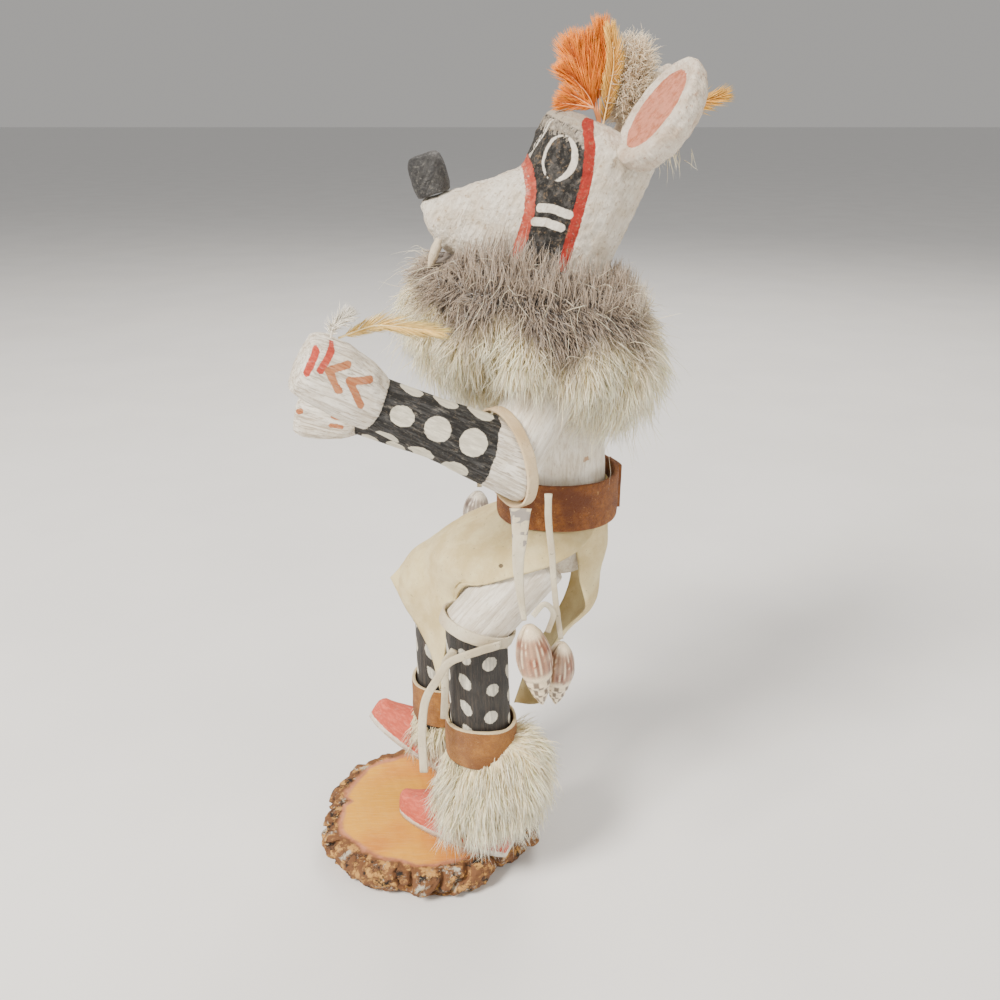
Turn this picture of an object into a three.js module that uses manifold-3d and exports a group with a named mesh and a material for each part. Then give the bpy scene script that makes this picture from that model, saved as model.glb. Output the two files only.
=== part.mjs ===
// A carved and painted dancer doll with an animal mask: dowel limbs mitred at the knees and elbows, a
// leather kilt in two flaps, fur round the neck and ankles, feathers and shells, on a slice of log.
// Millimetres, +Z up. The doll looks along -X and its left side is at -Y. The origin is the centre of
// the flat underside of the log slice.
import * as THREE from 'three';
import { mergeVertices } from 'three/addons/utils/BufferGeometryUtils.js';
import Module from 'manifold-3d';

const wasm = await Module();
wasm.setup();

// ---------------------------------------------------------------- driving dimensions
const GAP = 0.3; // clearance between pieces that touch
const LEATHER = 0.8; // thickness of the kilt leather
const SUEDE = 1.6; // thickness of belt and cuff suede
const BASE_R = 41; // mean radius of the log slice
const BASE_OVAL = 0.94; // its reach along Y as a share of its reach along X
const BASE_H = 12; // its thickness
const BARK = 6; // width of the bark ring
const LEG_R = 10.8; // radius of the shin and thigh dowels
const ARM_R = 10.5; // radius of an arm dowel at the elbow
const WRIST_R = 7.5; // radius of the forearm at the wrist
const FOOT = { length: 48, width: 19.5, heel: 12, ankle: 17, toe: 10.5 };
const WAIST = { x: 47.2, a: 16.4, b: 15.6 }; // the waist ellipse, a along X and b along Y
const BELT = { low: 140, high: 156 };
const KNEE_BAND = 4.3; // width of the leather band round a knee
const ELBOW_BAND = 3.7; // width of the band round an elbow
const BAND_THICK = 1; // thickness of both
const MASK_R = 18.5; // radius of the case mask
const MASK_LENGTH = 50; // from the shoulder line of its crown to its lower rim
const MASK_LEAN = 24; // degrees that the mask leans back

const at = (x, y, z) => new THREE.Vector3(x, y, z);
const degrees = THREE.MathUtils.degToRad;
const mix = THREE.MathUtils.lerp;

// The joints of the limbs. Side -1 is the doll's left, at -Y.
const LEFT = {
  side: -1,
  name: 'left',
  sole: at(21.7, -18, BASE_H + GAP),
  toeOut: -23,
  toeUp: 0,
  ankle: at(21.7, -18, 24),
  knee: at(19.5, -18, 104.5),
  hip: at(41, -13.7, 128.2),
  shoulder: at(45.5, -14.5, 194),
  elbow: at(29.7, -40, 172.6),
  wrist: at(-6.5, -50, 192.9),
  palmDrop: -2.5,
};
const RIGHT = {
  side: 1,
  name: 'right',
  sole: at(4.5, 18, 20),
  toeOut: -9,
  toeUp: 31,
  ankle: at(5.5, 18, 30),
  knee: at(5.5, 18, 102),
  hip: at(37.7, 13.2, 128.1),
  shoulder: at(45.5, 14.5, 190),
  elbow: at(18, 38.5, 150),
  wrist: at(-26, 45, 160),
  palmDrop: 4,
};

// ---------------------------------------------------------------- finishes
const finish = (colour, roughness) =>
  new THREE.MeshStandardMaterial({ color: colour, roughness, metalness: 0 });
const FINISH = {
  logWood: finish(0xd9a765, 0.75),
  whitePaint: finish(0xe9e4da, 0.85),
  blackPaint: finish(0x24221f, 0.6),
  salmonPaint: finish(0xd97c6c, 0.75),
  suede: finish(0xa5682c, 0.95),
  chamois: finish(0xe0d8b4, 0.85),
  fur: finish(0xe8e0cb, 0.95),
  greyFur: finish(0xb7aa97, 0.95),
  feather: finish(0xd9742a, 0.7),
  goldFeather: finish(0xd6a456, 0.7),
  shell: finish(0xcdb39a, 0.35),
  ivory: finish(0xe8dcc0, 0.5),
};

const doll = new THREE.Group();

// Puts one closed body into the doll under its own name.
function add(name, geometry, material) {
  const mesh = new THREE.Mesh(geometry, material);
  mesh.name = name;
  doll.add(mesh);
  return mesh;
}

// ---------------------------------------------------------------- surfaces and solids

// Six times the signed volume of an indexed closed mesh: positive when its faces point out.
function signedVolume(positions, triangles) {
  let sum = 0;
  for (let i = 0; i < triangles.length; i += 3) {
    const [a, b, c] = [0, 1, 2].map((k) => new THREE.Vector3().fromArray(positions, 3 * triangles[i + k]));
    sum += a.dot(b.cross(c));
  }
  return sum;
}

// A geometry from shared points and triangles, with its faces turned outwards.
function closedGeometry(points, triangles) {
  const positions = points.flatMap((p) => [p.x, p.y, p.z]);
  if (signedVolume(positions, triangles) < 0) triangles.reverse();
  const geometry = new THREE.BufferGeometry();
  geometry.setAttribute('position', new THREE.Float32BufferAttribute(positions, 3));
  geometry.setIndex(triangles);
  return geometry;
}

// Skins a row of rings that have the same number of points. The two ends are closed by fans about their
// middles, or joined to each other when the loft is a loop.
function loft(rings, loop = false) {
  const n = rings[0].length;
  const points = rings.flat();
  const triangles = [];
  const joins = loop ? rings.length : rings.length - 1;
  for (let i = 0; i < joins; i++) {
    const next = (i + 1) % rings.length;
    for (let j = 0; j < n; j++) {
      const k = (j + 1) % n;
      const [a, b, c, d] = [i * n + j, i * n + k, next * n + k, next * n + j];
      triangles.push(a, b, c, a, c, d);
    }
  }
  if (!loop) {
    for (const [start, turned] of [[0, true], [(rings.length - 1) * n, false]]) {
      const middle = new THREE.Vector3();
      for (let j = 0; j < n; j++) middle.addScaledVector(points[start + j], 1 / n);
      points.push(middle);
      for (let j = 0; j < n; j++) {
        const [p, q] = [start + j, start + ((j + 1) % n)];
        if (turned) triangles.push(q, p, points.length - 1);
        else triangles.push(p, q, points.length - 1);
      }
    }
  }
  return closedGeometry(points, triangles);
}

// A ring of n points about a centre: the section gives the reach along two axes for each angle.
function ring(centre, axisA, axisB, n, section) {
  return Array.from({ length: n }, (_, j) => {
    const angle = (2 * Math.PI * j) / n;
    const [a, b] = section(angle);
    return centre.clone().addScaledVector(axisA, a).addScaledVector(axisB, b);
  });
}

// A superellipse section: power 2 is an ellipse, and a higher power is a rounded rectangle.
const rounded = (a, b, power = 2) => (angle) => {
  const [c, s] = [Math.cos(angle), Math.sin(angle)];
  const shape = (t) => Math.sign(t) * Math.abs(t) ** (2 / power);
  return [a * shape(c), b * shape(s)];
};

// Two unit vectors square to a direction: the first lies level, along Y where it can.
function crossAxes(direction) {
  const across = Math.abs(direction.y) < 0.9 ? at(0, 1, 0) : at(1, 0, 0);
  across.addScaledVector(direction, -across.dot(direction)).normalize();
  const upward = direction.clone().cross(across).normalize();
  return [across, upward];
}

// A dowel between two points whose radius runs evenly from one end to the other.
function dowel(start, end, startRadius, endRadius, sides = 16) {
  const [across, upward] = crossAxes(end.clone().sub(start).normalize());
  const rings = [[start, startRadius], [end, endRadius]].map(([centre, radius]) =>
    ring(centre, across, upward, sides, rounded(radius, radius)));
  return loft(rings);
}

// A tube or flat strap along a curve. The width lies level and the thickness square to it.
function strap(curve, steps, widthAt, thickness, sides = 8, power = 3) {
  const rings = Array.from({ length: steps + 1 }, (_, i) => {
    const t = i / steps;
    const [across, upward] = strapAxes(curve, t);
    return ring(curve.getPointAt(t), across, upward, sides, rounded(widthAt(t) / 2, thickness / 2, power));
  });
  return loft(rings);
}

// The width of a hanging strap lies along X, square to its run, so that its flat side faces outwards.
function strapAxes(curve, t) {
  const along = curve.getTangentAt(t);
  const outward = at(0, 1, 0).addScaledVector(along, -along.y).normalize();
  return [outward.clone().cross(along).normalize(), outward];
}

// A smooth curve through points given as [x, y, z].
const through = (...points) => new THREE.CatmullRomCurve3(points.map((p) => at(...p)), false, 'centripetal');

function toSolid(geometry) {
  const bare = new THREE.BufferGeometry();
  bare.setAttribute('position', geometry.getAttribute('position'));
  bare.setIndex(geometry.getIndex());
  const merged = mergeVertices(bare, 1e-4);
  return new wasm.Manifold(new wasm.Mesh({
    numProp: 3,
    vertProperties: new Float32Array(merged.getAttribute('position').array),
    triVerts: new Uint32Array(merged.getIndex().array),
  }));
}

function toGeometry(solid) {
  const mesh = solid.getMesh();
  const geometry = new THREE.BufferGeometry();
  geometry.setAttribute('position', new THREE.BufferAttribute(new Float32Array(mesh.vertProperties), 3));
  geometry.setIndex(new THREE.BufferAttribute(new Uint32Array(mesh.triVerts), 1));
  return geometry;
}

// The part of a solid that lies in front of a plane, less the gap.
const keepAhead = (solid, point, normal) =>
  solid.trimByPlane(normal.toArray(), point.dot(normal) + GAP / 2);

// The solid without whatever lies in the given cutters.
const cutBy = (solid, ...cutters) => cutters.reduce((rest, cutter) => rest.subtract(cutter), solid);

// The largest separate body of a solid, once slivers have been cut loose.
function largest(solid) {
  return solid.decompose().reduce((best, piece) => (piece.volume() > best.volume() ? piece : best));
}

// The plane in which two dowels meet at their shared joint.
function mitre(before, joint, after) {
  const arriving = joint.clone().sub(before).normalize();
  const leaving = after.clone().sub(joint).normalize();
  return arriving.add(leaving).normalize();
}

// ---------------------------------------------------------------- the log slice

// How far the bark stands out at an angle: broad plates broken by a few cracks.
function barkReach(angle) {
  const plates = 0.9 * Math.sin(2 * angle + 0.6) + 0.8 * Math.sin(5 * angle + 2.1) + 0.6 * Math.sin(11 * angle);
  const notch = 3.2 * Math.exp(-(((angle - degrees(178)) / 0.07) ** 2));
  return BASE_R + plates - notch;
}

function logSlice() {
  const levels = [
    [0, -4.2, 0.3],
    [2.5, -1.4, 0.9],
    [6, 0.6, -0.7],
    [9.5, 0.1, 0.8],
    [BASE_H - 0.2, -1.6, 0.4],
  ];
  const [x, y] = [at(1, 0, 0), at(0, 1, 0)];
  const sides = 36;
  const rings = levels.map(([z, reach, lump], level) => ring(at(0, 0, z), x, y, sides, (angle) => {
    const r = barkReach(angle) + reach + lump * Math.sin(17 * angle + 2.4 * level);
    return [r * Math.cos(angle), BASE_OVAL * r * Math.sin(angle)];
  }));
  const wood = (z, inset) => ring(at(0, 0, z), x, y, sides, (angle) => {
    const r = barkReach(angle) - inset;
    return [r * Math.cos(angle), BASE_OVAL * r * Math.sin(angle)];
  });
  rings.push(wood(BASE_H, 3.2), wood(BASE_H - 0.5, BARK - 0.4), wood(BASE_H, BARK + 0.4));
  return loft(rings);
}

add('log_slice_base', logSlice(), FINISH.logWood);

// ---------------------------------------------------------------- feet and legs

// The foot's own frame: x forwards along the sole, z up from the sole, at the ankle.
function footMatrix(leg) {
  const turn = new THREE.Matrix4().makeRotationZ(Math.PI + degrees(leg.toeOut));
  const tip = new THREE.Matrix4().makeRotationY(-degrees(leg.toeUp));
  return new THREE.Matrix4().makeTranslation(leg.sole).multiply(turn).multiply(tip);
}

// A moccasin carved with a flat sole: the height falls from the ankle to the toe and the plan tapers to
// a blunt point. Grow makes the same foot larger all round, as a cutter.
function foot(leg, grow = 0) {
  const stations = 8;
  const rings = Array.from({ length: stations }, (_, i) => {
    const t = i / (stations - 1);
    const x = -FOOT.heel - grow + t * (FOOT.length + 2 * grow);
    const plan = Math.sqrt(Math.max(0, 1 - Math.abs(2 * t - 0.86) ** 3.2 / 1.6)) * mix(1, 0.62, t * t);
    const width = (FOOT.width / 2) * plan + grow;
    const rise = mix(FOOT.ankle, FOOT.toe, THREE.MathUtils.smoothstep(t, 0.3, 0.95)) + 2 * grow;
    const endRise = rise * (t === 0 || t === 1 ? 0.72 : 1);
    return ring(at(x, 0, -grow), at(0, 1, 0), at(0, 0, 1), 14, (angle) => {
      const [a, b] = rounded(width, endRise, 2.6)(angle);
      return [a * (b < 0 ? 0.96 : 1), Math.max(b, 0)];
    });
  });
  return loft(rings).applyMatrix4(footMatrix(leg));
}

for (const leg of [LEFT, RIGHT]) {
  const footSolid = toSolid(foot(leg));
  const footCutter = toSolid(foot(leg, 1.5 * GAP));
  const bend = mitre(leg.ankle, leg.knee, leg.hip);
  const low = leg.ankle.clone().setZ(leg.ankle.z - 6);
  const high = leg.knee.clone().setZ(leg.knee.z + 14);
  const shin = keepAhead(toSolid(dowel(low, high, LEG_R, LEG_R)), leg.knee, bend.clone().negate());
  leg.shinSolid = largest(cutBy(shin, footCutter));
  leg.footCutter = footCutter;
  leg.thighRun = leg.hip.clone().sub(leg.knee).normalize();
  const back = leg.knee.clone().addScaledVector(leg.thighRun, -16);
  leg.thighSolid = keepAhead(toSolid(dowel(back, leg.hip, LEG_R, LEG_R)), leg.knee, bend);
  leg.bend = bend;
  add(`${leg.name}_foot`, toGeometry(footSolid), FINISH.salmonPaint);
  add(`${leg.name}_shin`, toGeometry(leg.shinSolid), FINISH.blackPaint);
}

// ---------------------------------------------------------------- torso

// Levels of the carved body: height, middle along X, half depth and half width.
const TORSO = [
  [119, 47, 9, 8.5],
  [121.5, 47.2, 13, 12],
  [127, 47.3, 15.8, 15],
  [136, 47.2, 16.6, 15.8],
  [148, WAIST.x, WAIST.a, WAIST.b],
  [160, 46.8, 16.4, 16.2],
  [172, 45.6, 16.6, 17.6],
  [184, 44.6, 16.6, 19.6],
  [195, 43.8, 15.6, 20.4],
  [202, 43.2, 13.4, 18],
  [206, 42.6, 10.6, 12],
  [213, 41.6, 8.6, 8.6],
];

function torso(grow = 0) {
  return loft(TORSO.map(([z, x, a, b], i) => {
    const lift = i === 0 ? -grow : i === TORSO.length - 1 ? grow : 0;
    return ring(at(x, 0, z + lift), at(1, 0, 0), at(0, 1, 0), 18, rounded(a + grow, b + grow, 2.2));
  }));
}

// ---------------------------------------------------------------- mask with its snout

// The mask's own axes: forwards out of the face, the doll's left, and up along the case.
const MASK_TOP = at(57.5, 0, 259.1);
const UP = at(Math.sin(degrees(MASK_LEAN)), 0, Math.cos(degrees(MASK_LEAN)));
const FORWARD = at(-UP.z, 0, UP.x);
const ACROSS = at(0, 1, 0);
const onMask = (forward, across, up) =>
  MASK_TOP.clone().addScaledVector(FORWARD, forward).addScaledVector(ACROSS, across).addScaledVector(UP, up);

function maskCase(grow = 0) {
  const levels = [[-MASK_LENGTH - grow, 1], [-2.5, 1], [0.4, 0.97], [2.6, 0.86], [4.2, 0.6]];
  const rings = levels.map(([up, share]) => {
    const centre = onMask(share < 1 ? 2.2 * (1 - share) : 0, 0, up + (up > 0 ? grow : 0));
    return ring(centre, FORWARD, ACROSS, 24, rounded(MASK_R * share + grow, MASK_R * share + grow));
  });
  return loft(rings);
}

// The snout tapers to a blunt end: each station gives its reach, top, underside and half width.
const SNOUT = [
  [6, -9, -49, 15.5],
  [15, -12.4, -49, 13.6],
  [19, -16.5, -48.6, 12.6],
  [25, -22.5, -48.2, 10.8],
  [31, -27.5, -47.4, 9.6],
  [34.6, -30.6, -45.6, 8.9],
  [37, -32.6, -44.1, 8],
  [39.5, -34.8, -41.3, 6.6],
  [41.6, -36.7, -38.6, 4.4],
];

function snout(grow = 0) {
  return loft(SNOUT.map(([forward, top, under, half], i) => {
    const reach = forward + (i === SNOUT.length - 1 ? grow : 0);
    const centre = onMask(reach, 0, (top + under) / 2);
    return ring(centre, ACROSS, UP, 16, rounded(half + grow, (top - under) / 2 + grow, 2.7));
  }));
}

const maskSolid = toSolid(maskCase()).add(toSolid(snout()));
const maskCutter = toSolid(maskCase(GAP)).add(toSolid(snout(GAP)));
const torsoSolid = largest(cutBy(toSolid(torso()), maskCutter));
const torsoCutter = toSolid(torso(GAP));
add('torso', toGeometry(torsoSolid), FINISH.whitePaint);
add('head_mask', toGeometry(maskSolid), FINISH.whitePaint);

for (const leg of [LEFT, RIGHT]) {
  leg.thighSolid = largest(cutBy(leg.thighSolid, torsoCutter));
  add(`${leg.name}_thigh`, toGeometry(leg.thighSolid), FINISH.whitePaint);
}

// The nose is a rounded block that stands on the slope at the front of the snout and leans forwards. Its
// levels give the way along its own axis and the share of its section.
const NOSE = { forward: 42.6, up: -30.2, lean: 40.5, half: 6, reach: 5.7 };
const [noseSine, noseCosine] = [Math.sin(degrees(NOSE.lean)), Math.cos(degrees(NOSE.lean))];
const noseAxis = FORWARD.clone().multiplyScalar(noseSine).addScaledVector(UP, noseCosine);
const noseFront = FORWARD.clone().multiplyScalar(noseCosine).addScaledVector(UP, -noseSine);
const noseLevels = [[-4.8, 0.9], [-2, 0.98], [0.5, 1], [4.6, 0.95], [6.2, 0.8], [7, 0.5]];
add('nose_knob', loft(noseLevels.map(([along, share]) => ring(
  onMask(NOSE.forward, 0, NOSE.up).addScaledVector(noseAxis, along),
  ACROSS, noseFront, 16, rounded(NOSE.half * share, NOSE.reach * share, 2.8)))), FINISH.blackPaint);

// A small ivory fang hangs at each corner of the mouth. Its levels give the way along it and the radius.
const FANG = [[-0.3, 1], [2.6, 1.5], [5.4, 1.45], [7.6, 0.95], [8.8, 0.3]];

function fang(side, grow = 0) {
  const root = onMask(33, side * 9.9, -44.5);
  const tip = onMask(32.5, side * 11.2, -53.2);
  const run = tip.clone().sub(root).normalize();
  const [across, upward] = crossAxes(run);
  return toSolid(loft(FANG.map(([along, radius], i) => {
    const reach = along + (i === FANG.length - 1 ? grow : 0);
    const centre = root.clone().addScaledVector(run, reach);
    return ring(centre, across, upward, 8, rounded(radius + grow, radius + grow));
  })));
}

for (const arm of [LEFT, RIGHT]) {
  add(`${arm.name}_fang`, toGeometry(largest(cutBy(fang(arm.side), maskCutter))), FINISH.ivory);
}

// ---------------------------------------------------------------- ears

// A round ear cut thick: a flat face that looks forwards, outwards and up, over a rounded back.
const EAR = { face: at(70, 20, 268.2), tall: 16.4, wide: 13.6, out: 20, tilt: 35 };
const EAR_DROP = 0.1; // how far the back of the ear sinks for each millimetre of its depth

function earSolid(side, grow = 0) {
  const [out, tilt] = [degrees(EAR.out), degrees(EAR.tilt)];
  const normal = at(-Math.cos(tilt) * Math.cos(out), side * Math.cos(tilt) * Math.sin(out), Math.sin(tilt));
  const tall = at(0, 0, 1).addScaledVector(normal, -normal.z).normalize();
  const wide = normal.clone().cross(tall);
  const centre = at(EAR.face.x, side * EAR.face.y, EAR.face.z);
  const levels = [[-0.7, 0.76], [0, 0.84], [-1, 1], [-4.4, 0.98], [-7.6, 0.86], [-10.2, 0.5]];
  return toSolid(loft(levels.map(([depth, share]) => {
    const drop = EAR_DROP * Math.abs(depth);
    const middle = centre.clone().addScaledVector(normal, depth).addScaledVector(tall, -drop);
    return ring(middle, tall, wide, 14, rounded(EAR.tall * share + grow, EAR.wide * share + grow));
  })));
}

for (const arm of [LEFT, RIGHT]) {
  arm.ear = largest(cutBy(earSolid(arm.side), maskCutter));
  add(`${arm.name}_ear`, toGeometry(arm.ear), FINISH.whitePaint);
}

// ---------------------------------------------------------------- arms

// The forearm tapers to the wrist and swells into a closed fist. Stations run along the forearm from the
// elbow in millimetres, with the section's half sizes, its power and how far the palm sinks. The second
// cross axis points down.
function forearm(arm) {
  const run = arm.wrist.clone().sub(arm.elbow).normalize();
  const [across, downward] = crossAxes(run);
  const length = arm.wrist.distanceTo(arm.elbow);
  const station = (along, half, tall, power, drop = 0) => ring(
    arm.elbow.clone().addScaledVector(run, along).addScaledVector(downward, drop),
    across, downward, 16, rounded(half, tall, power));
  return loft([
    station(-17, ARM_R, ARM_R, 2),
    station(0, ARM_R, ARM_R, 2),
    station(length - 3, WRIST_R, WRIST_R, 2),
    station(length, 7.6, 7.8, 2.3),
    station(length + 5, 8.3, 8.8, 2.8, 0.4 * arm.palmDrop),
    station(length + 13, 8.7, 9.2, 3.2, 0.8 * arm.palmDrop),
    station(length + 20, 8.5, 8.7, 3.2, 0.3 + arm.palmDrop),
    station(length + 24, 7.2, 7, 3, 0.5 + arm.palmDrop),
  ]);
}

for (const arm of [LEFT, RIGHT]) {
  arm.elbowBend = mitre(arm.shoulder, arm.elbow, arm.wrist);
  const run = arm.elbow.clone().sub(arm.shoulder).normalize();
  const past = arm.elbow.clone().addScaledVector(run, 16);
  const upper = toSolid(dowel(arm.shoulder, past, ARM_R - 0.2, ARM_R - 0.2));
  const upperCut = keepAhead(upper, arm.elbow, arm.elbowBend.clone().negate());
  arm.upperSolid = largest(cutBy(upperCut, torsoCutter));
  arm.lowerSolid = keepAhead(toSolid(forearm(arm)), arm.elbow, arm.elbowBend);
  add(`${arm.name}_upper_arm`, toGeometry(arm.upperSolid), FINISH.whitePaint);
  add(`${arm.name}_forearm`, toGeometry(arm.lowerSolid), FINISH.blackPaint);
}

// ---------------------------------------------------------------- fur

// A body of fur about a centre: an ellipsoid whose locks part it into lobes. The locks are deepest at the
// lower edge, where the hair hangs free. The slope lifts the body towards +X.
function furBody({ centre, reach, locks, depth, hang, slope }, around, over) {
  const rings = Array.from({ length: over + 1 }, (_, i) => {
    const latitude = Math.PI * mix(0.03, 0.97, i / over);
    const [low, waist] = [(1 - Math.cos(latitude)) / 2, Math.sin(latitude)];
    return Array.from({ length: around }, (_, j) => {
      const angle = (2 * Math.PI * j) / around;
      const lock = depth * low * Math.sin(locks * angle + 2.6 * latitude) * waist;
      const r = waist ** 0.8 * (1 + lock);
      const forth = reach.x * r * Math.cos(angle);
      const drop = hang(angle) * low;
      return at(
        centre.x + forth,
        centre.y + reach.y * r * Math.sin(angle),
        centre.z + reach.z * Math.cos(latitude) - drop + slope * forth,
      );
    });
  });
  return toSolid(loft(rings));
}

// The neck ruff stands up under the chin and hangs lower down the back.
const ruff = furBody({
  centre: at(38.5, 0, 204),
  reach: at(41, 42, 24.5),
  locks: 13,
  depth: 0.09,
  hang: (angle) => 4 * Math.max(0, Math.cos(angle)) ** 2 + 2 * Math.sin(3 * angle),
  slope: -0.19,
}, 24, 7);
const armCutters = [LEFT, RIGHT].flatMap((arm) => {
  const run = arm.elbow.clone().sub(arm.shoulder).normalize();
  const past = arm.elbow.clone().addScaledVector(run, 16);
  const upper = toSolid(dowel(arm.shoulder.clone().addScaledVector(run, -GAP), past, ARM_R + GAP, ARM_R + GAP));
  return [upper, toSolid(dowel(arm.elbow, arm.wrist, ARM_R + GAP, ARM_R + GAP))];
});
const fangCutters = [LEFT, RIGHT].map((arm) => fang(arm.side, GAP));
const ruffSolid = largest(cutBy(ruff, torsoCutter, maskCutter, ...armCutters, ...fangCutters));
add('neck_ruff', toGeometry(ruffSolid), FINISH.greyFur);

const ANKLET = {
  left: {
    centre: at(25, -20, 38.5), reach: at(21.5, 17, 19), locks: 9, depth: 0.12, hang: () => 0, slope: 0.34,
  },
  right: {
    centre: at(8, 19, 37), reach: at(17, 15, 11), locks: 8, depth: 0.12, hang: () => 0, slope: 0.3,
  },
};
const CUFF = { left: [53, 67.5], right: [44.5, 60] };
const CUFF_R = LEG_R + 2 * GAP;
for (const leg of [LEFT, RIGHT]) {
  const [low, high] = CUFF[leg.name];
  const share = (mix(low, high, 0.5) - leg.ankle.z) / (leg.knee.z - leg.ankle.z);
  leg.cuffPlace = leg.ankle.clone().lerp(leg.knee, share);
  const belowAnkle = leg.ankle.clone().setZ(5);
  const shinHole = toSolid(dowel(belowAnkle, leg.knee, LEG_R + GAP, LEG_R + GAP));
  const cuffRoom = CUFF_R + SUEDE + GAP;
  const cuffHole = toSolid(dowel(
    leg.cuffPlace.clone().setZ(low - GAP), leg.cuffPlace.clone().setZ(high), cuffRoom, cuffRoom, 20));
  const fur = furBody(ANKLET[leg.name], 16, 6);
  const clear = cutBy(fur, shinHole, cuffHole, leg.footCutter).trimByPlane([0, 0, 1], BASE_H + 2 * GAP);
  add(`${leg.name}_fur_anklet`, toGeometry(largest(clear)), FINISH.fur);
}

// ---------------------------------------------------------------- belt and cuffs

// A band round an upright axis: an ellipse that stands off the body and is closed by its thickness.
function band(centre, a, b, low, high, thickness, sides, power) {
  const [x, y] = [at(1, 0, 0), at(0, 1, 0)];
  const level = (z, out) => ring(at(centre.x, centre.y, z), x, y, sides, rounded(a + out, b + out, power));
  return loft([level(low, 0), level(low, thickness), level(high, thickness), level(high, 0)], true);
}

const FLAP_CLEAR = LEATHER + GAP; // room that one layer of leather needs
const beltClear = 2 * FLAP_CLEAR + 2 * GAP;
const beltRing = band(
  at(WAIST.x, 0, 0), WAIST.a + beltClear, WAIST.b + beltClear, BELT.low, BELT.high, SUEDE, 28, 2.2);
add('belt', beltRing, FINISH.suede);

// The belt's loose end lies over the ring at the back.
const TAB = { angle: 8, reach: 26 };
const tabOut = beltClear + SUEDE + GAP;
const tabPoints = (out) => Array.from({ length: 5 }, (_, i) => {
  const angle = degrees(TAB.angle + (TAB.reach * i) / 4);
  const [a, b] = rounded(WAIST.a + out, WAIST.b + out, 2.2)(angle);
  return [a, b];
});
function beltTab() {
  const outline = [...tabPoints(tabOut), ...tabPoints(tabOut + SUEDE).reverse()];
  const level = (z) => outline.map(([a, b]) => at(WAIST.x + a, b, z));
  return loft([level(BELT.low - 0.7), level(BELT.high - 1.2)]);
}
add('belt_end', beltTab(), FINISH.suede);

for (const leg of [LEFT, RIGHT]) {
  const [low, high] = CUFF[leg.name];
  add(`${leg.name}_shin_cuff`, band(leg.cuffPlace, CUFF_R, CUFF_R, low, high, SUEDE, 20, 2), FINISH.suede);
}

// ---------------------------------------------------------------- kilt flaps

// A point of the waist's ellipse at an angle from the front, standing off the body.
function waistPoint(angle, out, z) {
  const [a, b] = rounded(WAIST.a + out, WAIST.b + out, 2.2)(angle);
  return at(WAIST.x - a, b, z);
}

// A point pushed square out of a thigh, so that leather lies over it.
function clearOfThigh(point, leg) {
  const reach = leg.hip.distanceTo(leg.knee);
  const along = THREE.MathUtils.clamp(point.clone().sub(leg.knee).dot(leg.thighRun), 0, reach);
  const axisPoint = leg.knee.clone().addScaledVector(leg.thighRun, along);
  const off = point.clone().sub(axisPoint);
  const room = LEG_R + LEATHER / 2 + 3.4 * GAP;
  const shift = Math.max(room - off.length(), 0);
  return point.clone().addScaledVector(off.normalize(), shift);
}

// A point pushed out of an ellipsoid about a knee, so that leather lies over the band there.
function clearOfKnee(point, leg) {
  const slant = Math.acos(leg.bend.z);
  const longAxis = at(0, 0, 1).addScaledVector(leg.bend, -leg.bend.z).normalize();
  const shortAxis = leg.bend.clone().cross(longAxis);
  const room = LEG_R + BAND_THICK + LEATHER / 2 + 6 * GAP;
  const long = room + LEG_R * (1 / Math.cos(slant) - 1) + (KNEE_BAND / 2) * Math.tan(slant);
  const off = point.clone().sub(leg.knee);
  const alongBend = off.dot(leg.bend) / (1.2 * room);
  const share = Math.hypot(off.dot(longAxis) / long, off.dot(shortAxis) / room, alongBend);
  return share < 1 ? leg.knee.clone().addScaledVector(off, 1 / share) : point;
}

const clearOfLeg = (point, leg) => clearOfKnee(clearOfThigh(point, leg), leg);

// A leather flap: a tucked strip that runs down the waist behind the belt, then a sheet stretched
// between the waistline, the two side edges and the hem. The sheet's bow lifts its middle outwards.
function flap({ angles, out, nearEdge, farEdge, hem, bow, drape }, across, down) {
  const tuckTop = BELT.high - 5;
  const tuckLow = BELT.low - GAP;
  const [first, last] = angles.map(degrees);
  const waist = (u, z) => waistPoint(mix(first, last, u), out, z);
  const corners = [waist(0, tuckLow), waist(1, tuckLow), hem.getPoint(0), hem.getPoint(1)];
  const sheetPoint = (u, v) => {
    const p = new THREE.Vector3();
    p.addScaledVector(waist(u, tuckLow), 1 - v).addScaledVector(hem.getPoint(u), v);
    p.addScaledVector(farEdge.getPoint(v), 1 - u).addScaledVector(nearEdge.getPoint(v), u);
    p.addScaledVector(corners[0], -(1 - u) * (1 - v)).addScaledVector(corners[1], -u * (1 - v));
    p.addScaledVector(corners[2], -(1 - u) * v).addScaledVector(corners[3], -u * v);
    p.addScaledVector(bow, 16 * u * (1 - u) * v * (1 - v));
    return drape ? [LEFT, RIGHT].reduce(clearOfLeg, p) : p;
  };
  const rows = [];
  for (let i = 0; i <= down; i++) {
    const v = i / down;
    rows.push(Array.from({ length: across + 1 }, (_, j) => sheetPoint(j / across, v)));
  }
  rows.unshift(Array.from({ length: across + 1 }, (_, j) => waist(j / across, tuckTop)));
  return sheetSolid(rows, LEATHER);
}

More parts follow.
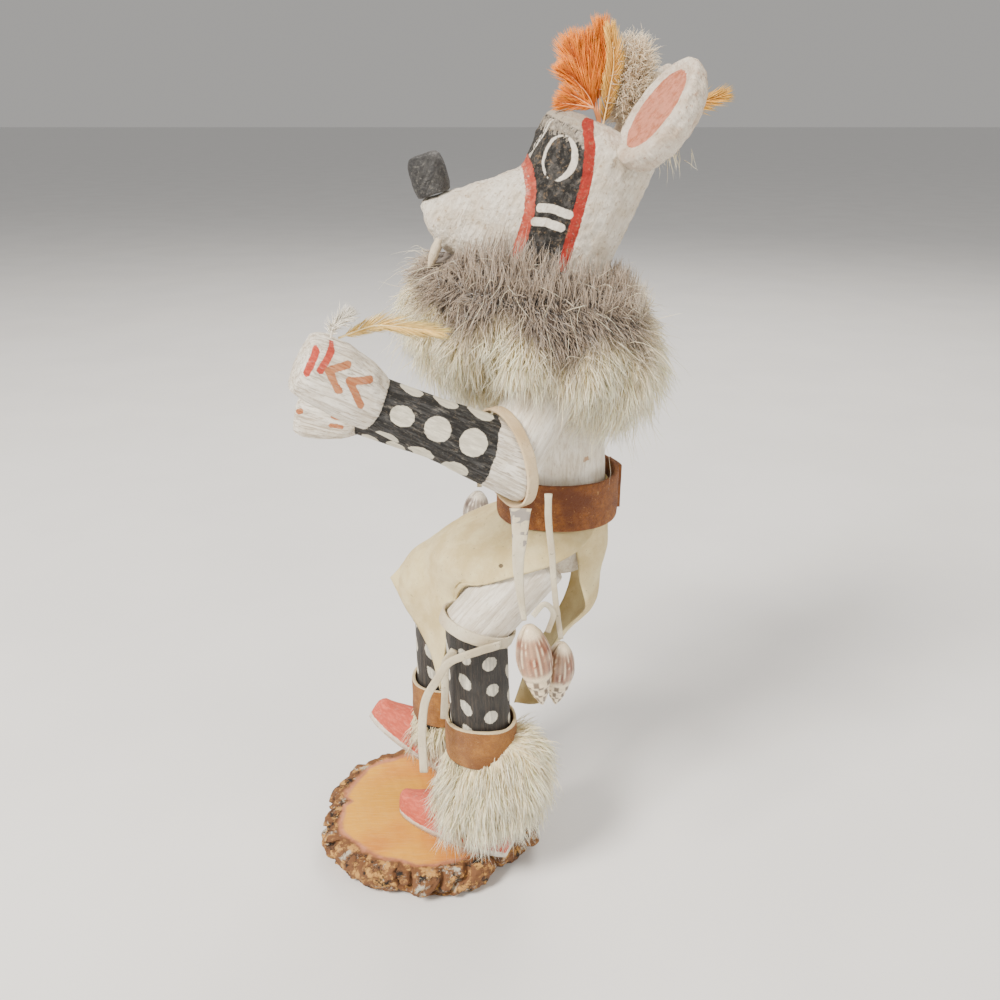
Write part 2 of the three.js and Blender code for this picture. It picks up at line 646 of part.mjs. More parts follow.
// A grid of points given a thickness along its own normals, and closed by a rim.
function sheetSolid(rows, thickness) {
  const [m, n] = [rows.length, rows[0].length];
  const normal = (i, j) => {
    const dv = rows[Math.min(i + 1, m - 1)][j].clone().sub(rows[Math.max(i - 1, 0)][j]);
    const du = rows[i][Math.min(j + 1, n - 1)].clone().sub(rows[i][Math.max(j - 1, 0)]);
    return du.cross(dv).normalize();
  };
  const layer = (shift) => rows.flatMap((row, i) => row.map((p, j) =>
    p.clone().addScaledVector(normal(i, j), shift * thickness)));
  const points = [...layer(0.5), ...layer(-0.5)];
  const triangles = [];
  const quad = (a, b, c, d) => triangles.push(a, b, c, a, c, d);
  const id = (i, j, side) => side * m * n + i * n + j;
  for (let i = 0; i < m - 1; i++) {
    for (let j = 0; j < n - 1; j++) {
      quad(id(i, j, 0), id(i, j + 1, 0), id(i + 1, j + 1, 0), id(i + 1, j, 0));
      quad(id(i, j, 1), id(i + 1, j, 1), id(i + 1, j + 1, 1), id(i, j + 1, 1));
    }
    quad(id(i, 0, 0), id(i + 1, 0, 0), id(i + 1, 0, 1), id(i, 0, 1));
    quad(id(i, n - 1, 1), id(i + 1, n - 1, 1), id(i + 1, n - 1, 0), id(i, n - 1, 0));
  }
  for (let j = 0; j < n - 1; j++) {
    quad(id(0, j, 1), id(0, j + 1, 1), id(0, j + 1, 0), id(0, j, 0));
    quad(id(m - 1, j, 0), id(m - 1, j + 1, 0), id(m - 1, j + 1, 1), id(m - 1, j, 1));
  }
  return closedGeometry(points, triangles);
}

// The front flap is blown forwards over the raised knees. Its hem runs from a far corner in front of the
// right knee down to a long tail between the shins.
const frontAngles = [82, -132];
const frontOut = 2 * GAP + LEATHER + GAP + LEATHER / 2;
const frontStart = frontAngles.map((angle) => waistPoint(degrees(angle), frontOut, BELT.low - GAP).toArray());
const frontFlap = flap({
  angles: frontAngles,
  out: frontOut,
  farEdge: through(
    frontStart[0], [35, 22, 136], [22, 23.5, 131], [10, 24.5, 124], [-2, 23.5, 114.5], [-14.5, 20, 103]),
  nearEdge: through(
    frontStart[1], [56, -19.5, 135.5], [48, -24, 132], [35.3, -24.4, 127.4], [27.6, -23.4, 123.6],
    [20.5, -20.5, 119], [13.5, -9, 105], [8.8, -8, 92.8], [5.3, -5, 69]),
  hem: through([-14.5, 20, 103], [-9, 14, 95.5], [-3.2, 8.5, 88.5], [1.6, 2, 80], [5.3, -5, 69]),
  bow: at(-1.5, 0, -0.5),
  drape: true,
}, 12, 10);
add('front_flap', frontFlap, FINISH.chamois);

// The back flap hangs behind the legs and is drawn in under the body. Its near edge curls outwards.
const backAngles = [-98, -262];
const backOut = 2 * GAP + LEATHER / 2;
const backStart = backAngles.map((angle) => waistPoint(degrees(angle), backOut, BELT.low - GAP).toArray());
const backFlap = flap({
  angles: backAngles,
  out: backOut,
  farEdge: through(
    backStart[0], [54, -15.2, 128], [54.3, -16, 120], [57.3, -15.4, 112], [56.7, -11, 105],
    [50.5, -7.6, 97], [44.6, -5.4, 83], [42.7, -2, 61]),
  nearEdge: through(
    backStart[1], [54, 15.6, 128], [54.6, 17, 116], [54, 15, 104], [48, 12, 90], [38, 10, 70], [33, 8, 54.5]),
  hem: through([42.7, -2, 61], [38.6, 3.6, 56.6], [33, 8, 54.5]),
  bow: at(-2.5, 0, 0),
  drape: false,
}, 10, 9);
add('back_flap', backFlap, FINISH.chamois);

// ---------------------------------------------------------------- bands at the elbows and knees

// A leather band in the plane of a mitre: an ellipse round the dowel with a flat section. It lies close to
// the outside of the bend and clears both dowels on the inside, where they close in on it.
function jointBand(joint, before, bend, radius, width) {
  const arriving = joint.clone().sub(before).normalize();
  const slant = Math.acos(arriving.dot(bend));
  const longAxis = arriving.clone().addScaledVector(bend, -arriving.dot(bend)).normalize();
  const shortAxis = bend.clone().cross(longAxis);
  const closeIn = (width / 2) * Math.tan(slant);
  const long = radius / Math.cos(slant) + 1.5 * GAP + closeIn / 2;
  const middle = joint.clone().addScaledVector(longAxis, -closeIn / 2);
  const short = radius + 2 * GAP;
  const steps = 18;
  const rings = Array.from({ length: steps }, (_, i) => {
    const angle = (2 * Math.PI * i) / steps;
    const reach = (out) => middle.clone()
      .addScaledVector(longAxis, (long + out) * Math.cos(angle))
      .addScaledVector(shortAxis, (short + out) * Math.sin(angle));
    return [[0, -0.5], [BAND_THICK, -0.5], [BAND_THICK, 0.5], [0, 0.5]].map(([out, side]) =>
      reach(out).addScaledVector(bend, side * width));
  });
  return loft(rings, true);
}

for (const limb of [LEFT, RIGHT]) {
  add(`${limb.name}_elbow_band`,
    jointBand(limb.elbow, limb.shoulder, limb.elbowBend, ARM_R, ELBOW_BAND), FINISH.chamois);
  add(`${limb.name}_knee_band`,
    jointBand(limb.knee, limb.ankle, limb.bend, LEG_R, KNEE_BAND), FINISH.chamois);
}

// ---------------------------------------------------------------- laces and shells

// Each lace is a flat strip along its own route: [route, width at the start, width at the end].
const LACES = {
  left_elbow_strap: [through(
    [33.6, -47.6, 160.2], [33.4, -49.6, 152], [33, -50, 144], [33.6, -49.6, 134], [35, -49.2, 124]), 6.6, 1.6],
  left_elbow_lace: [through(
    [41.6, -48.5, 165], [41.8, -47.5, 157], [43.3, -45.5, 143.5], [44.6, -43.6, 129],
    [46.9, -41.6, 113]), 2.2, 1.8],
  right_elbow_lace: [through(
    [20.8, 52.8, 158.5], [19.8, 53.2, 149], [19.4, 52, 139], [19.4, 48.3, 129]), 2.4, 2],
  left_knee_lace_long: [through(
    [24, -32.6, 101.2], [16.5, -33, 101.4], [10.4, -32.6, 98], [6.6, -32.4, 91.6], [2.7, -33.2, 84.6],
    [1.2, -35.6, 74.4], [1.5, -38.6, 58.4]), 2.8, 2.8],
  left_knee_lace_short: [through(
    [12.3, -30.4, 101.6], [9.4, -29, 96.4], [8.8, -27.6, 90], [8.6, -26.6, 82], [8, -26, 71.5]), 2.6, 2.6],
  right_knee_lace: [through(
    [7, 31.6, 99], [2.5, 33, 92], [1, 33.5, 82], [1.6, 34, 70]), 2.8, 2.8],
};
const LACE_THICK = 1.2;
for (const [name, [curve, first, last]] of Object.entries(LACES)) {
  const steps = Math.round(curve.getLength() / 5.2);
  add(name, strap(curve, steps, (t) => mix(first, last, t ** 0.6), LACE_THICK), FINISH.chamois);
}

// A small cone shell that hangs by its round end: a lathed outline with a stepped spire.
const SHELL_OUTLINE = [
  [0, 0], [0.34, 0.02], [0.66, 0.11], [0.88, 0.23], [1, 0.38], [0.97, 0.5], [0.86, 0.6], [0.78, 0.63],
  [0.66, 0.74], [0.56, 0.77], [0.42, 0.87], [0.32, 0.9], [0.12, 0.98], [0, 1],
];
function shell(top, tip, radius) {
  const length = tip.distanceTo(top);
  const outline = SHELL_OUTLINE.map(([r, share]) => new THREE.Vector2(r * radius, share * length));
  const turn = new THREE.Quaternion().setFromUnitVectors(at(0, 1, 0), tip.clone().sub(top).normalize());
  const lathe = new THREE.LatheGeometry(outline, 10).applyQuaternion(turn).translate(...top.toArray());
  return toGeometry(toSolid(lathe));
}
add('left_shell_large', shell(at(36.3, -49, 122), at(41.2, -48, 92.5), 5.6), FINISH.shell);
add('left_shell_small', shell(at(47.2, -41.5, 111.4), at(45.8, -41.4, 88), 4.9), FINISH.shell);
add('right_shell', shell(at(19.2, 47, 127.8), at(16, 46.5, 107), 5.2), FINISH.shell);

// A short strip arches from one of the left shells to the other.
const shellLoop = through([37.6, -49, 125.2], [41, -47.4, 128.4], [44, -45.4, 124.4], [42.6, -43.8, 116.6]);
add('shell_loop', strap(shellLoop, 8, () => 1.8, 0.9), FINISH.chamois);

// ---------------------------------------------------------------- feathers

// A feather is a thin plate along its quill: the vane widens from the root and closes at the tip.
function feather(curve, width, steps, peak = 0.6, thickness = 0.8) {
  const skew = Math.log(0.5) / Math.log(peak);
  const vane = (t) => 0.9 + width * Math.sin(Math.PI * Math.min(1, t ** skew)) ** 0.8;
  return strap(curve, steps, vane, thickness, 6, 2);
}
const crestFan = through([57, -4, 265.6], [55.2, -4.2, 273], [52.8, -4.4, 281.5], [53.4, -4.5, 292.6]);
const crestSide = through([54.5, -7.4, 268.2], [50, -7.6, 269.2], [44.6, -7.8, 271.8]);
const rear = through([72.5, 1, 268], [84, 0, 268.8], [96, -1.4, 272.6]);
add('crest_fan_feather', feather(crestFan, 15.5, 9, 0.6), FINISH.feather);
add('crest_side_feather', feather(crestSide, 4, 5), FINISH.feather);
add('rear_feather', feather(rear, 3.6, 6), FINISH.goldFeather);

const earCutters = [LEFT, RIGHT].map((arm) => earSolid(arm.side, GAP));
const down = furBody({
  centre: at(66, 0, 274.5), reach: at(6.4, 6.2, 13), locks: 7, depth: 0.16, hang: () => 0, slope: 0.1,
}, 14, 6);
add('crest_down', toGeometry(largest(cutBy(down, maskCutter, ...earCutters))), FINISH.greyFur);

add('hand_feather', feather(
  through([-15.4, -52.4, 211.4], [-6, -51, 214.4], [0.6, -50.4, 214], [12, -49.6, 212.2]), 4.6, 8, 0.45),
  FINISH.goldFeather);
add('hand_plume', feather(
  through([-17.2, -53.4, 211.6], [-16.4, -53.6, 214.4], [-11.4, -53.8, 218.4]), 2, 4), FINISH.ivory);

export default doll;
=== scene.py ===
"""Dresses the kachina doll: carved and painted wood, fur, feathers, leather, shells and a slice of log.

Shapes are worked out with numpy in millimetres, in the frame of the CAD model: the doll looks along -X, its
left side is at -Y, +Z is up and the origin is the middle of the log slice's underside. They are written to
Blender in metres.
"""

import math
from functools import partial
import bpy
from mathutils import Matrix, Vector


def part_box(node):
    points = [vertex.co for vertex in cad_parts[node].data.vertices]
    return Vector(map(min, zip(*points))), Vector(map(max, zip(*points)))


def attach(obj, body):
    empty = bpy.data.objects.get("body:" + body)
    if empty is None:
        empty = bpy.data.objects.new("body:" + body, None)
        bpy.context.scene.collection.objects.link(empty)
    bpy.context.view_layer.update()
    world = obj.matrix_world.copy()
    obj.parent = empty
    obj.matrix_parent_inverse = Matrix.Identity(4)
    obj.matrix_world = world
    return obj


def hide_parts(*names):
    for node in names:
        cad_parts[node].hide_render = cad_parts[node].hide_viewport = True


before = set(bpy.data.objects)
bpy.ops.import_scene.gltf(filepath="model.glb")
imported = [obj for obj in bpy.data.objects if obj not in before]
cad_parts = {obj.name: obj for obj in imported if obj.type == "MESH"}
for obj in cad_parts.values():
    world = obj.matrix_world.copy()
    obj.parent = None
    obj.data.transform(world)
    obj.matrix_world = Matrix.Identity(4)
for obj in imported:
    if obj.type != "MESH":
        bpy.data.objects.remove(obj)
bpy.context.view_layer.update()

from types import SimpleNamespace

import bpy
import numpy as np
from mathutils import Vector
from bpy.props import FloatProperty, FloatVectorProperty, PointerProperty

bl_info = {
    "name": "Kachina Doll",
    "version": (1, 0, 0),
    "blender": (4, 5, 0),
    "location": "View3D > Sidebar > Doll",
    "description": "Builds a carved dancer doll with fur, feathers, leather and shells",
    "category": "Add Mesh",
}

# ---------------------------------------------------------------- sizes, in millimetres

MM = 0.001  # one millimetre in metres
GAP = 0.3  # clearance between touching pieces
LEATHER = 0.8  # thickness of the kilt leather
SUEDE = 1.6  # thickness of the belt and cuffs
LEG_R = 10.8  # radius of shin and thigh
ARM_R = 10.5  # radius of the arm at the elbow
WRIST_R = 7.5  # radius of the forearm at the wrist
BASE_R = 41.0  # mean radius of the log slice
BASE_OVAL = 0.94  # its reach along Y as a share of its reach along X
BARK = 6.0  # width of the bark ring
WAIST = SimpleNamespace(x=47.2, a=16.4, b=15.6)
MASK_R = 18.5  # radius of the case mask
MASK_LENGTH = 50.0
MASK_LEAN = 24.0  # degrees that the mask leans back
BAND_THICK = 1.0  # thickness of the knee and elbow bands
KNEE_BAND = 4.3
ELBOW_BAND = 3.7
FOOT = SimpleNamespace(length=48.0, width=19.5, heel=12.0, ankle=17.0, toe=10.5)
EAR = SimpleNamespace(face=(70, 20, 268.2), tall=16.4, wide=13.6, out=20, tilt=35)


def node_box(name):
    """The lowest and highest corner of a CAD node, in millimetres."""
    low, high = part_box(name)
    return np.array(low) / MM, np.array(high) / MM


BASE_H = node_box("log_slice_base")[1][2]
BELT = SimpleNamespace(low=node_box("belt")[0][2], high=node_box("belt")[1][2])


def vec(*numbers):
    """A float array."""
    return np.array(numbers, float)


def unit(v):
    """Vectors divided by their length."""
    return v / np.maximum(np.linalg.norm(v, axis=-1, keepdims=True), 1e-9)


def make_side(side, **places):
    """The joints of the limbs on one side, as arrays. Side -1 is the doll's left."""
    arrays = {k: vec(*v) if isinstance(v, tuple) else v for k, v in places.items()}
    limbs = SimpleNamespace(side=side, name="left" if side < 0 else "right", **arrays)
    limbs.thigh_run = unit(limbs.hip - limbs.knee)
    limbs.knee_bend = unit(unit(limbs.knee - limbs.ankle) + limbs.thigh_run)
    limbs.upper_run = unit(limbs.elbow - limbs.shoulder)
    limbs.fore_run = unit(limbs.wrist - limbs.elbow)
    limbs.elbow_bend = unit(limbs.upper_run + limbs.fore_run)
    return limbs


LEFT = make_side(
    -1, sole=(21.7, -18, 12.3), toe_out=-23, toe_up=0, ankle=(21.7, -18, 24), knee=(19.5, -18, 104.5),
    hip=(41, -13.7, 128.2), shoulder=(45.5, -14.5, 194), elbow=(29.7, -40, 172.6), wrist=(-6.5, -50, 192.9),
    palm_drop=-2.5)
RIGHT = make_side(
    1, sole=(4.5, 18, 20), toe_out=-9, toe_up=31, ankle=(5.5, 18, 30), knee=(5.5, 18, 102),
    hip=(37.7, 13.2, 128.1), shoulder=(45.5, 14.5, 190), elbow=(18, 38.5, 150), wrist=(-26, 45, 160),
    palm_drop=4.0)
SIDES = (LEFT, RIGHT)

# ---------------------------------------------------------------- numbers and noise


def mix(a, b, t):
    """The value a share t of the way from a to b."""
    return a + (b - a) * t


def smooth(low, high, x):
    """A smooth step from 0 at low to 1 at high."""
    t = np.clip((x - low) / (high - low), 0, 1)
    return t * t * (3 - 2 * t)


def lattice(i, j, k, seed):
    """A fixed random number from -1 to 1 at each whole point."""
    with np.errstate(over="ignore"):
        h = i.astype(np.uint32) * np.uint32(73856093) ^ j.astype(np.uint32) * np.uint32(19349663)
        h ^= k.astype(np.uint32) * np.uint32(83492791) ^ np.uint32(seed * 7919 + 17)
        h = (h ^ (h >> np.uint32(13))) * np.uint32(1274126177)
        h ^= h >> np.uint32(16)
    return (h & np.uint32(0xFFFFFF)).astype(float) / 0x7FFFFF - 1


def noise(points, scale, seed=0):
    """Value noise: random numbers on a lattice of the given scale, eased between its corners."""
    q = np.asarray(points, float) / scale
    cell = np.floor(q).astype(np.int64)
    f = q - cell
    f = f * f * (3 - 2 * f)
    total = 0
    for corner in range(8):
        d = [(corner >> axis) & 1 for axis in range(3)]
        weight = np.prod([f[..., a] if d[a] else 1 - f[..., a] for a in range(3)], axis=0)
        total = total + weight * lattice(*(cell[..., a] + d[a] for a in range(3)), seed)
    return total


def fbm(points, scale, octaves=4, seed=0):
    """Layers of noise, each at half the scale and half the height of the last."""
    return sum(noise(points, scale / 2**o, seed + o) / 2**o for o in range(octaves))


# ---------------------------------------------------------------- shapes


class Shape:
    """A mesh as arrays: points, four-sided faces, three-sided faces."""

    def __init__(self, points, quads, triangles=()):
        self.points = np.asarray(points, float).reshape(-1, 3)
        self.quads = np.asarray(quads, np.int64).reshape(-1, 4)
        self.triangles = np.asarray(triangles, np.int64).reshape(-1, 3)

    def all_triangles(self):
        """Every face as triangles."""
        q = self.quads
        return np.vstack([q[:, [0, 1, 2]], q[:, [0, 2, 3]], self.triangles])

    def outwards(self):
        """Turns the faces round if the volume that they enclose comes out negative."""
        a, b, c = (self.points[self.all_triangles()[:, k]] for k in range(3))
        if np.einsum("ij,ij->", a, np.cross(b, c)) < 0:
            self.quads = self.quads[:, ::-1]
            self.triangles = self.triangles[:, ::-1]
        return self

    def normals(self):
        """The normal at each point: the sum of the crosses of the faces round it."""
        t = self.all_triangles()
        a, b, c = (self.points[t[:, k]] for k in range(3))
        face = np.cross(b - a, c - a)
        count = len(self.points)
        total = [sum(np.bincount(t[:, k], face[:, axis], count) for k in range(3)) for axis in range(3)]
        return unit(np.stack(total, axis=1))

    def relief(self, height):
        """Moves each point along its normal by a height in millimetres."""
        self.points = self.points + self.normals() * height[:, None]
        return self

    def smoothed(self, times, share=0.5):
        """Draws each point a share of the way to the mean of its neighbours, several times."""
        q = self.quads
        ends = np.vstack([q[:, [0, 1]], q[:, [1, 2]], q[:, [2, 3]], q[:, [3, 0]]])
        ends = np.vstack([ends, ends[:, ::-1]])
        count = np.bincount(ends[:, 0], minlength=len(self.points))[:, None]
        for _ in range(times):
            ahead = self.points[ends[:, 1]]
            near = [np.bincount(ends[:, 0], ahead[:, a], len(self.points)) for a in range(3)]
            self.points = mix(self.points, np.stack(near, axis=1) / np.maximum(count, 1), share)
        return self


def join(shapes):
    """Several shapes in one."""
    starts = np.cumsum([0] + [len(s.points) for s in shapes[:-1]])
    return Shape(
        np.vstack([s.points for s in shapes]),
        np.vstack([s.quads + k for s, k in zip(shapes, starts)]),
        np.vstack([s.triangles + k for s, k in zip(shapes, starts)]))


def loft(rings, loop=False):
    """Skins rings of equal count, an array of (rings, points, 3). The ends are closed by fans about their
    middles, or joined to each other when the loft is a loop."""
    rings = np.asarray(rings, float)
    m, n = rings.shape[:2]
    i, j = np.meshgrid(np.arange(m if loop else m - 1), np.arange(n), indexing="ij")
    up, k = (i + 1) % m, (j + 1) % n
    quads = np.stack([i * n + j, i * n + k, up * n + k, up * n + j], axis=-1).reshape(-1, 4)
    points = rings.reshape(-1, 3)
    if loop:
        return Shape(points, quads).outwards()
    around = np.arange(n)
    after = (around + 1) % n
    low = np.stack([after, around, np.full(n, m * n)], axis=1)
    high = np.stack([(m - 1) * n + around, (m - 1) * n + after, np.full(n, m * n + 1)], axis=1)
    points = np.vstack([points, rings[0].mean(0), rings[-1].mean(0)])
    return Shape(points, quads, np.vstack([low, high])).outwards()


def section(angle, a, b, power=2.0):
    """A superellipse: power 2 is an ellipse, and a higher power is a rounded rectangle."""
    c, s = np.cos(angle), np.sin(angle)
    return a * np.sign(c) * np.abs(c) ** (2 / power), b * np.sign(s) * np.abs(s) ** (2 / power)


def turn_angles(count):
    """Angles evenly round a turn."""
    return np.arange(count) * 2 * np.pi / count


def ring(centre, axis_a, axis_b, angles, a, b, power=2.0):
    """Points about a centre on a superellipse in the plane of two axes."""
    u, v = section(angles, a, b, power)
    return centre + u[:, None] * axis_a + v[:, None] * axis_b


def cross_axes(direction):
    """Two unit vectors square to a direction: the first lies level, along Y where it can."""
    across = vec(0, 1, 0) if abs(direction[1]) < 0.9 else vec(1, 0, 0)
    across = unit(across - direction * (across @ direction))
    return across, unit(np.cross(direction, across))


def spline(points, t):
    """A centripetal Catmull-Rom curve through the points, at shares t of its count of spans."""
    p = np.asarray(points, float)
    q = np.vstack([2 * p[0] - p[1], p, 2 * p[-1] - p[-2]])
    spans = len(p) - 1
    i = np.minimum((t * spans).astype(int), spans - 1)
    w = (t * spans - i)[:, None]
    p0, p1, p2, p3 = (q[i + k] for k in range(4))
    d0, d1, d2 = (np.sqrt(np.linalg.norm(b - a, axis=1))[:, None] for a, b in ((p0, p1), (p1, p2), (p2, p3)))
    m1 = ((p1 - p0) / d0 - (p2 - p0) / (d0 + d1) + (p2 - p1) / d1) * d1
    m2 = ((p2 - p1) / d1 - (p3 - p1) / (d1 + d2) + (p3 - p2) / d2) * d1
    w2, w3 = w * w, w * w * w
    return (2 * w3 - 3 * w2 + 1) * p1 + (w3 - 2 * w2 + w) * m1 + (3 * w2 - 2 * w3) * p2 + (w3 - w2) * m2


def even_spline(points, count):
    """The same curve at points evenly spaced along its length."""
    fine = spline(points, np.linspace(0, 1, 600))
    along = np.concatenate([[0], np.cumsum(np.linalg.norm(np.diff(fine, axis=0), axis=1))])
    wanted = np.linspace(0, along[-1], count)
    return np.stack([np.interp(wanted, along, fine[:, a]) for a in range(3)], axis=1)


def frames(route, count):
    """Evenly spaced points along a route, with the way along it at each, and two axes square to that: one as
    near to Y as it can be, and one across."""
    centres = even_spline(route, count)
    tangent = unit(np.gradient(centres, axis=0))
    outward = unit(vec(0, 1, 0) - tangent * tangent[:, 1:2])
    across = np.cross(outward, tangent)
    return centres, tangent, outward, across


def grid_sheet(grid, thickness):
    """A grid of points (rows, columns, 3) given a thickness along its own normals, and closed by a rim."""
    m, n = grid.shape[:2]
    normal = unit(np.cross(np.gradient(grid, axis=1), np.gradient(grid, axis=0)))
    points = np.concatenate([(grid + normal * thickness / 2).reshape(-1, 3),
                             (grid - normal * thickness / 2).reshape(-1, 3)])
    i, j = np.meshgrid(np.arange(m - 1), np.arange(n - 1), indexing="ij")
    face = np.stack([i * n + j, i * n + j + 1, (i + 1) * n + j + 1, (i + 1) * n + j], axis=-1).reshape(-1, 4)
    edge = np.concatenate([np.arange(n - 1), np.arange(m - 1) * n + n - 1,
                           (m - 1) * n + np.arange(n - 1, 0, -1), np.arange(m - 1, 0, -1) * n])
    after = np.roll(edge, -1)
    rim = np.stack([after, edge, edge + m * n, after + m * n], axis=1)
    return Shape(points, np.vstack([face, face[:, ::-1] + m * n, rim])).outwards()


def rebuilt(shapes, voxel):
    """The union of closed shapes as one even skin of four-sided faces, by a voxel remesh."""
    whole = join(shapes)
    mesh = write_mesh("voxel_source", whole)
    source = bpy.data.objects.new("voxel_source", mesh)
    bpy.context.scene.collection.objects.link(source)
    remesh = source.modifiers.new("union", "REMESH")
    remesh.mode = "VOXEL"
    remesh.voxel_size = voxel * MM
    made = bpy.data.meshes.new_from_object(source.evaluated_get(bpy.context.evaluated_depsgraph_get()))
    points = np.empty(len(made.vertices) * 3)
    made.vertices.foreach_get("co", points)
    corners = np.empty(len(made.loops), np.int32)
    made.loops.foreach_get("vertex_index", corners)
    bpy.data.objects.remove(source)
    bpy.data.meshes.remove(mesh)
    bpy.data.meshes.remove(made)
    return Shape(points.reshape(-1, 3) / MM, corners.reshape(-1, 4)).outwards()


# ---------------------------------------------------------------- Blender objects


def write_mesh(name, shape, attributes=None):
    """A Blender mesh in metres from a shape, with its attributes on the points."""
    mesh = bpy.data.meshes.new(name)
    corners = np.concatenate([shape.quads.ravel(), shape.triangles.ravel()]).astype(np.int32)
    quads, triangles = len(shape.quads), len(shape.triangles)
    starts = np.concatenate([np.arange(quads) * 4, quads * 4 + np.arange(triangles) * 3]).astype(np.int32)
    mesh.vertices.add(len(shape.points))
    mesh.vertices.foreach_set("co", (shape.points * MM).ravel())
    mesh.loops.add(len(corners))
    mesh.loops.foreach_set("vertex_index", corners)
    mesh.polygons.add(len(starts))
    mesh.polygons.foreach_set("loop_start", starts)
    mesh.update(calc_edges=True)
    kinds = {1: ("FLOAT", "value"), 3: ("FLOAT_VECTOR", "vector"), 4: ("FLOAT_COLOR", "color")}
    for key, values in (attributes or {}).items():
        values = np.asarray(values, float)
        kind, field = kinds[1 if values.ndim == 1 else values.shape[1]]
        mesh.attributes.new(key, kind, "POINT").data.foreach_set(field, values.ravel())
    return mesh


def piece(name, shape, material, nodes, attributes=None):
    """Puts a shape into the scene as a piece that rides on the body and stands for CAD nodes."""
    mesh = write_mesh(name, shape, attributes)
    mesh.shade_smooth()
    mesh.materials.append(material)
    made = bpy.data.objects.new(name, mesh)
    bpy.context.scene.collection.objects.link(made)
    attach(made, "root")
    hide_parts(*nodes)
    return made


# ---------------------------------------------------------------- shader graphs


def feed(tree, socket, value):
    """Links a socket to another, or sets it to a plain value."""
    if isinstance(value, bpy.types.NodeSocket):
        tree.links.new(value, socket)
    elif value is not None:
        socket.default_value = value


class Graph:
    """Adds nodes to one tree and links them."""

    def __init__(self, tree):
        self.tree = tree

    def add(self, kind, *values, settings=None, **named):
        """A node with its settings, and its inputs given in order or by name."""
        node = self.tree.nodes.new("ShaderNode" + kind)
        for key, value in (settings or {}).items():
            setattr(node, key, value)
        sockets = list(zip(node.inputs, values))
        sockets += [(node.inputs[key.replace("_", " ")], value) for key, value in named.items()]
        for socket, value in sockets:
            feed(self.tree, socket, value)
        return node

    def math(self, operation, *values, clamp=False):
        """One Math node's value."""
        settings = {"operation": operation, "use_clamp": clamp}
        return self.add("Math", *values, settings=settings).outputs[0]

    def mix(self, factor, a, b, blend="MIX"):
        """Two colours mixed by a factor."""
        settings = {"data_type": "RGBA", "blend_type": blend, "clamp_factor": True}
        node = self.add("Mix", settings=settings)
        feed(self.tree, node.inputs[0], factor)
        for index, value in ((6, a), (7, b)):
            plain = not isinstance(value, bpy.types.NodeSocket)
            feed(self.tree, node.inputs[index], rgba(value) if plain else value)
        return node.outputs[2]

    def range(self, value, low, high, to_low=0.0, to_high=1.0):
        """A value carried from one range to another along a smooth step."""
        settings = {"interpolation_type": "SMOOTHSTEP"}
        return self.add("MapRange", value, low, high, to_low, to_high, settings=settings).outputs[0]

    def noise(self, vector, scale, detail=3.0, roughness=0.55, distortion=0.0):
        """A noise texture's value."""
        return self.add("TexNoise", Vector=vector, Scale=scale, Detail=detail, Roughness=roughness,
                        Distortion=distortion).outputs[0]

    def stretched(self, vector, x, y, z):
        """A vector scaled along its axes."""
        node = self.add("VectorMath", vector, settings={"operation": "MULTIPLY"})
        node.inputs[1].default_value = (x, y, z)
        return node.outputs[0]

    def attribute(self, name, output="Fac"):
        """An attribute of the piece's own mesh."""
        return self.add("Attribute", settings={"attribute_name": name}).outputs[output]

    def millimetres(self):
        """Object coordinates in millimetres."""
        return self.stretched(self.add("TexCoord").outputs["Object"], 1000, 1000, 1000)


def rgba(colour):
    """A colour with its alpha."""
    return (*colour[:3], 1.0)


def make_group(name, inputs, outputs, build):
    """A node group with named inputs and outputs, built once. Build gets the graph and the input sockets, and
    gives the output sockets in order."""
    if name in bpy.data.node_groups:
        return bpy.data.node_groups[name]
    tree = bpy.data.node_groups.new(name, "ShaderNodeTree")
    for label, kind, default in inputs:
        socket = tree.interface.new_socket(name=label, in_out="INPUT", socket_type="NodeSocket" + kind)
        if default is not None:
            socket.default_value = default
    for label, kind in outputs:
        tree.interface.new_socket(name=label, in_out="OUTPUT", socket_type="NodeSocket" + kind)
    graph = Graph(tree)
    entry = tree.nodes.new("NodeGroupInput")
    leave = tree.nodes.new("NodeGroupOutput")
    made = build(graph, {s.name: s for s in entry.outputs if s.name})
    for (label, _), socket in zip(outputs, made):
        tree.links.new(socket, leave.inputs[label])
    return tree


def use_group(graph, tree, **named):
    """A group placed in a graph with its inputs."""
    node = graph.tree.nodes.new("ShaderNodeGroup")
    node.node_tree = tree
    for key, value in named.items():
        feed(graph.tree, node.inputs[key.replace("_", " ")], value)
    return node


def grain_group():
    """Wood grain: fine dark lines and pores drawn out along the vector's Z."""

    def build(g, given):
        scale = given["Scale"]
        warped = g.stretched(given["Vector"], 1, 1, 0.07)
        lines = g.add("TexNoise", Vector=warped, Detail=5.0, Roughness=0.7, Distortion=0.6)
        g.tree.links.new(scale, lines.inputs["Scale"])
        pores = g.add("TexNoise", Vector=g.stretched(given["Vector"], 2.6, 2.6, 0.3), Detail=2.0)
        g.tree.links.new(scale, pores.inputs["Scale"])
        depth = g.range(lines.outputs[0], 0.32, 0.56)
        pits = g.range(pores.outputs[0], 0.3, 0.42)
        return g.math("MULTIPLY", depth, pits), g.math("ADD", depth, pits)

    return make_group(
        "Wood Grain", [("Vector", "Vector", None), ("Scale", "Float", 1.0)],
        [("Mask", "Float"), ("Height", "Float")], build)


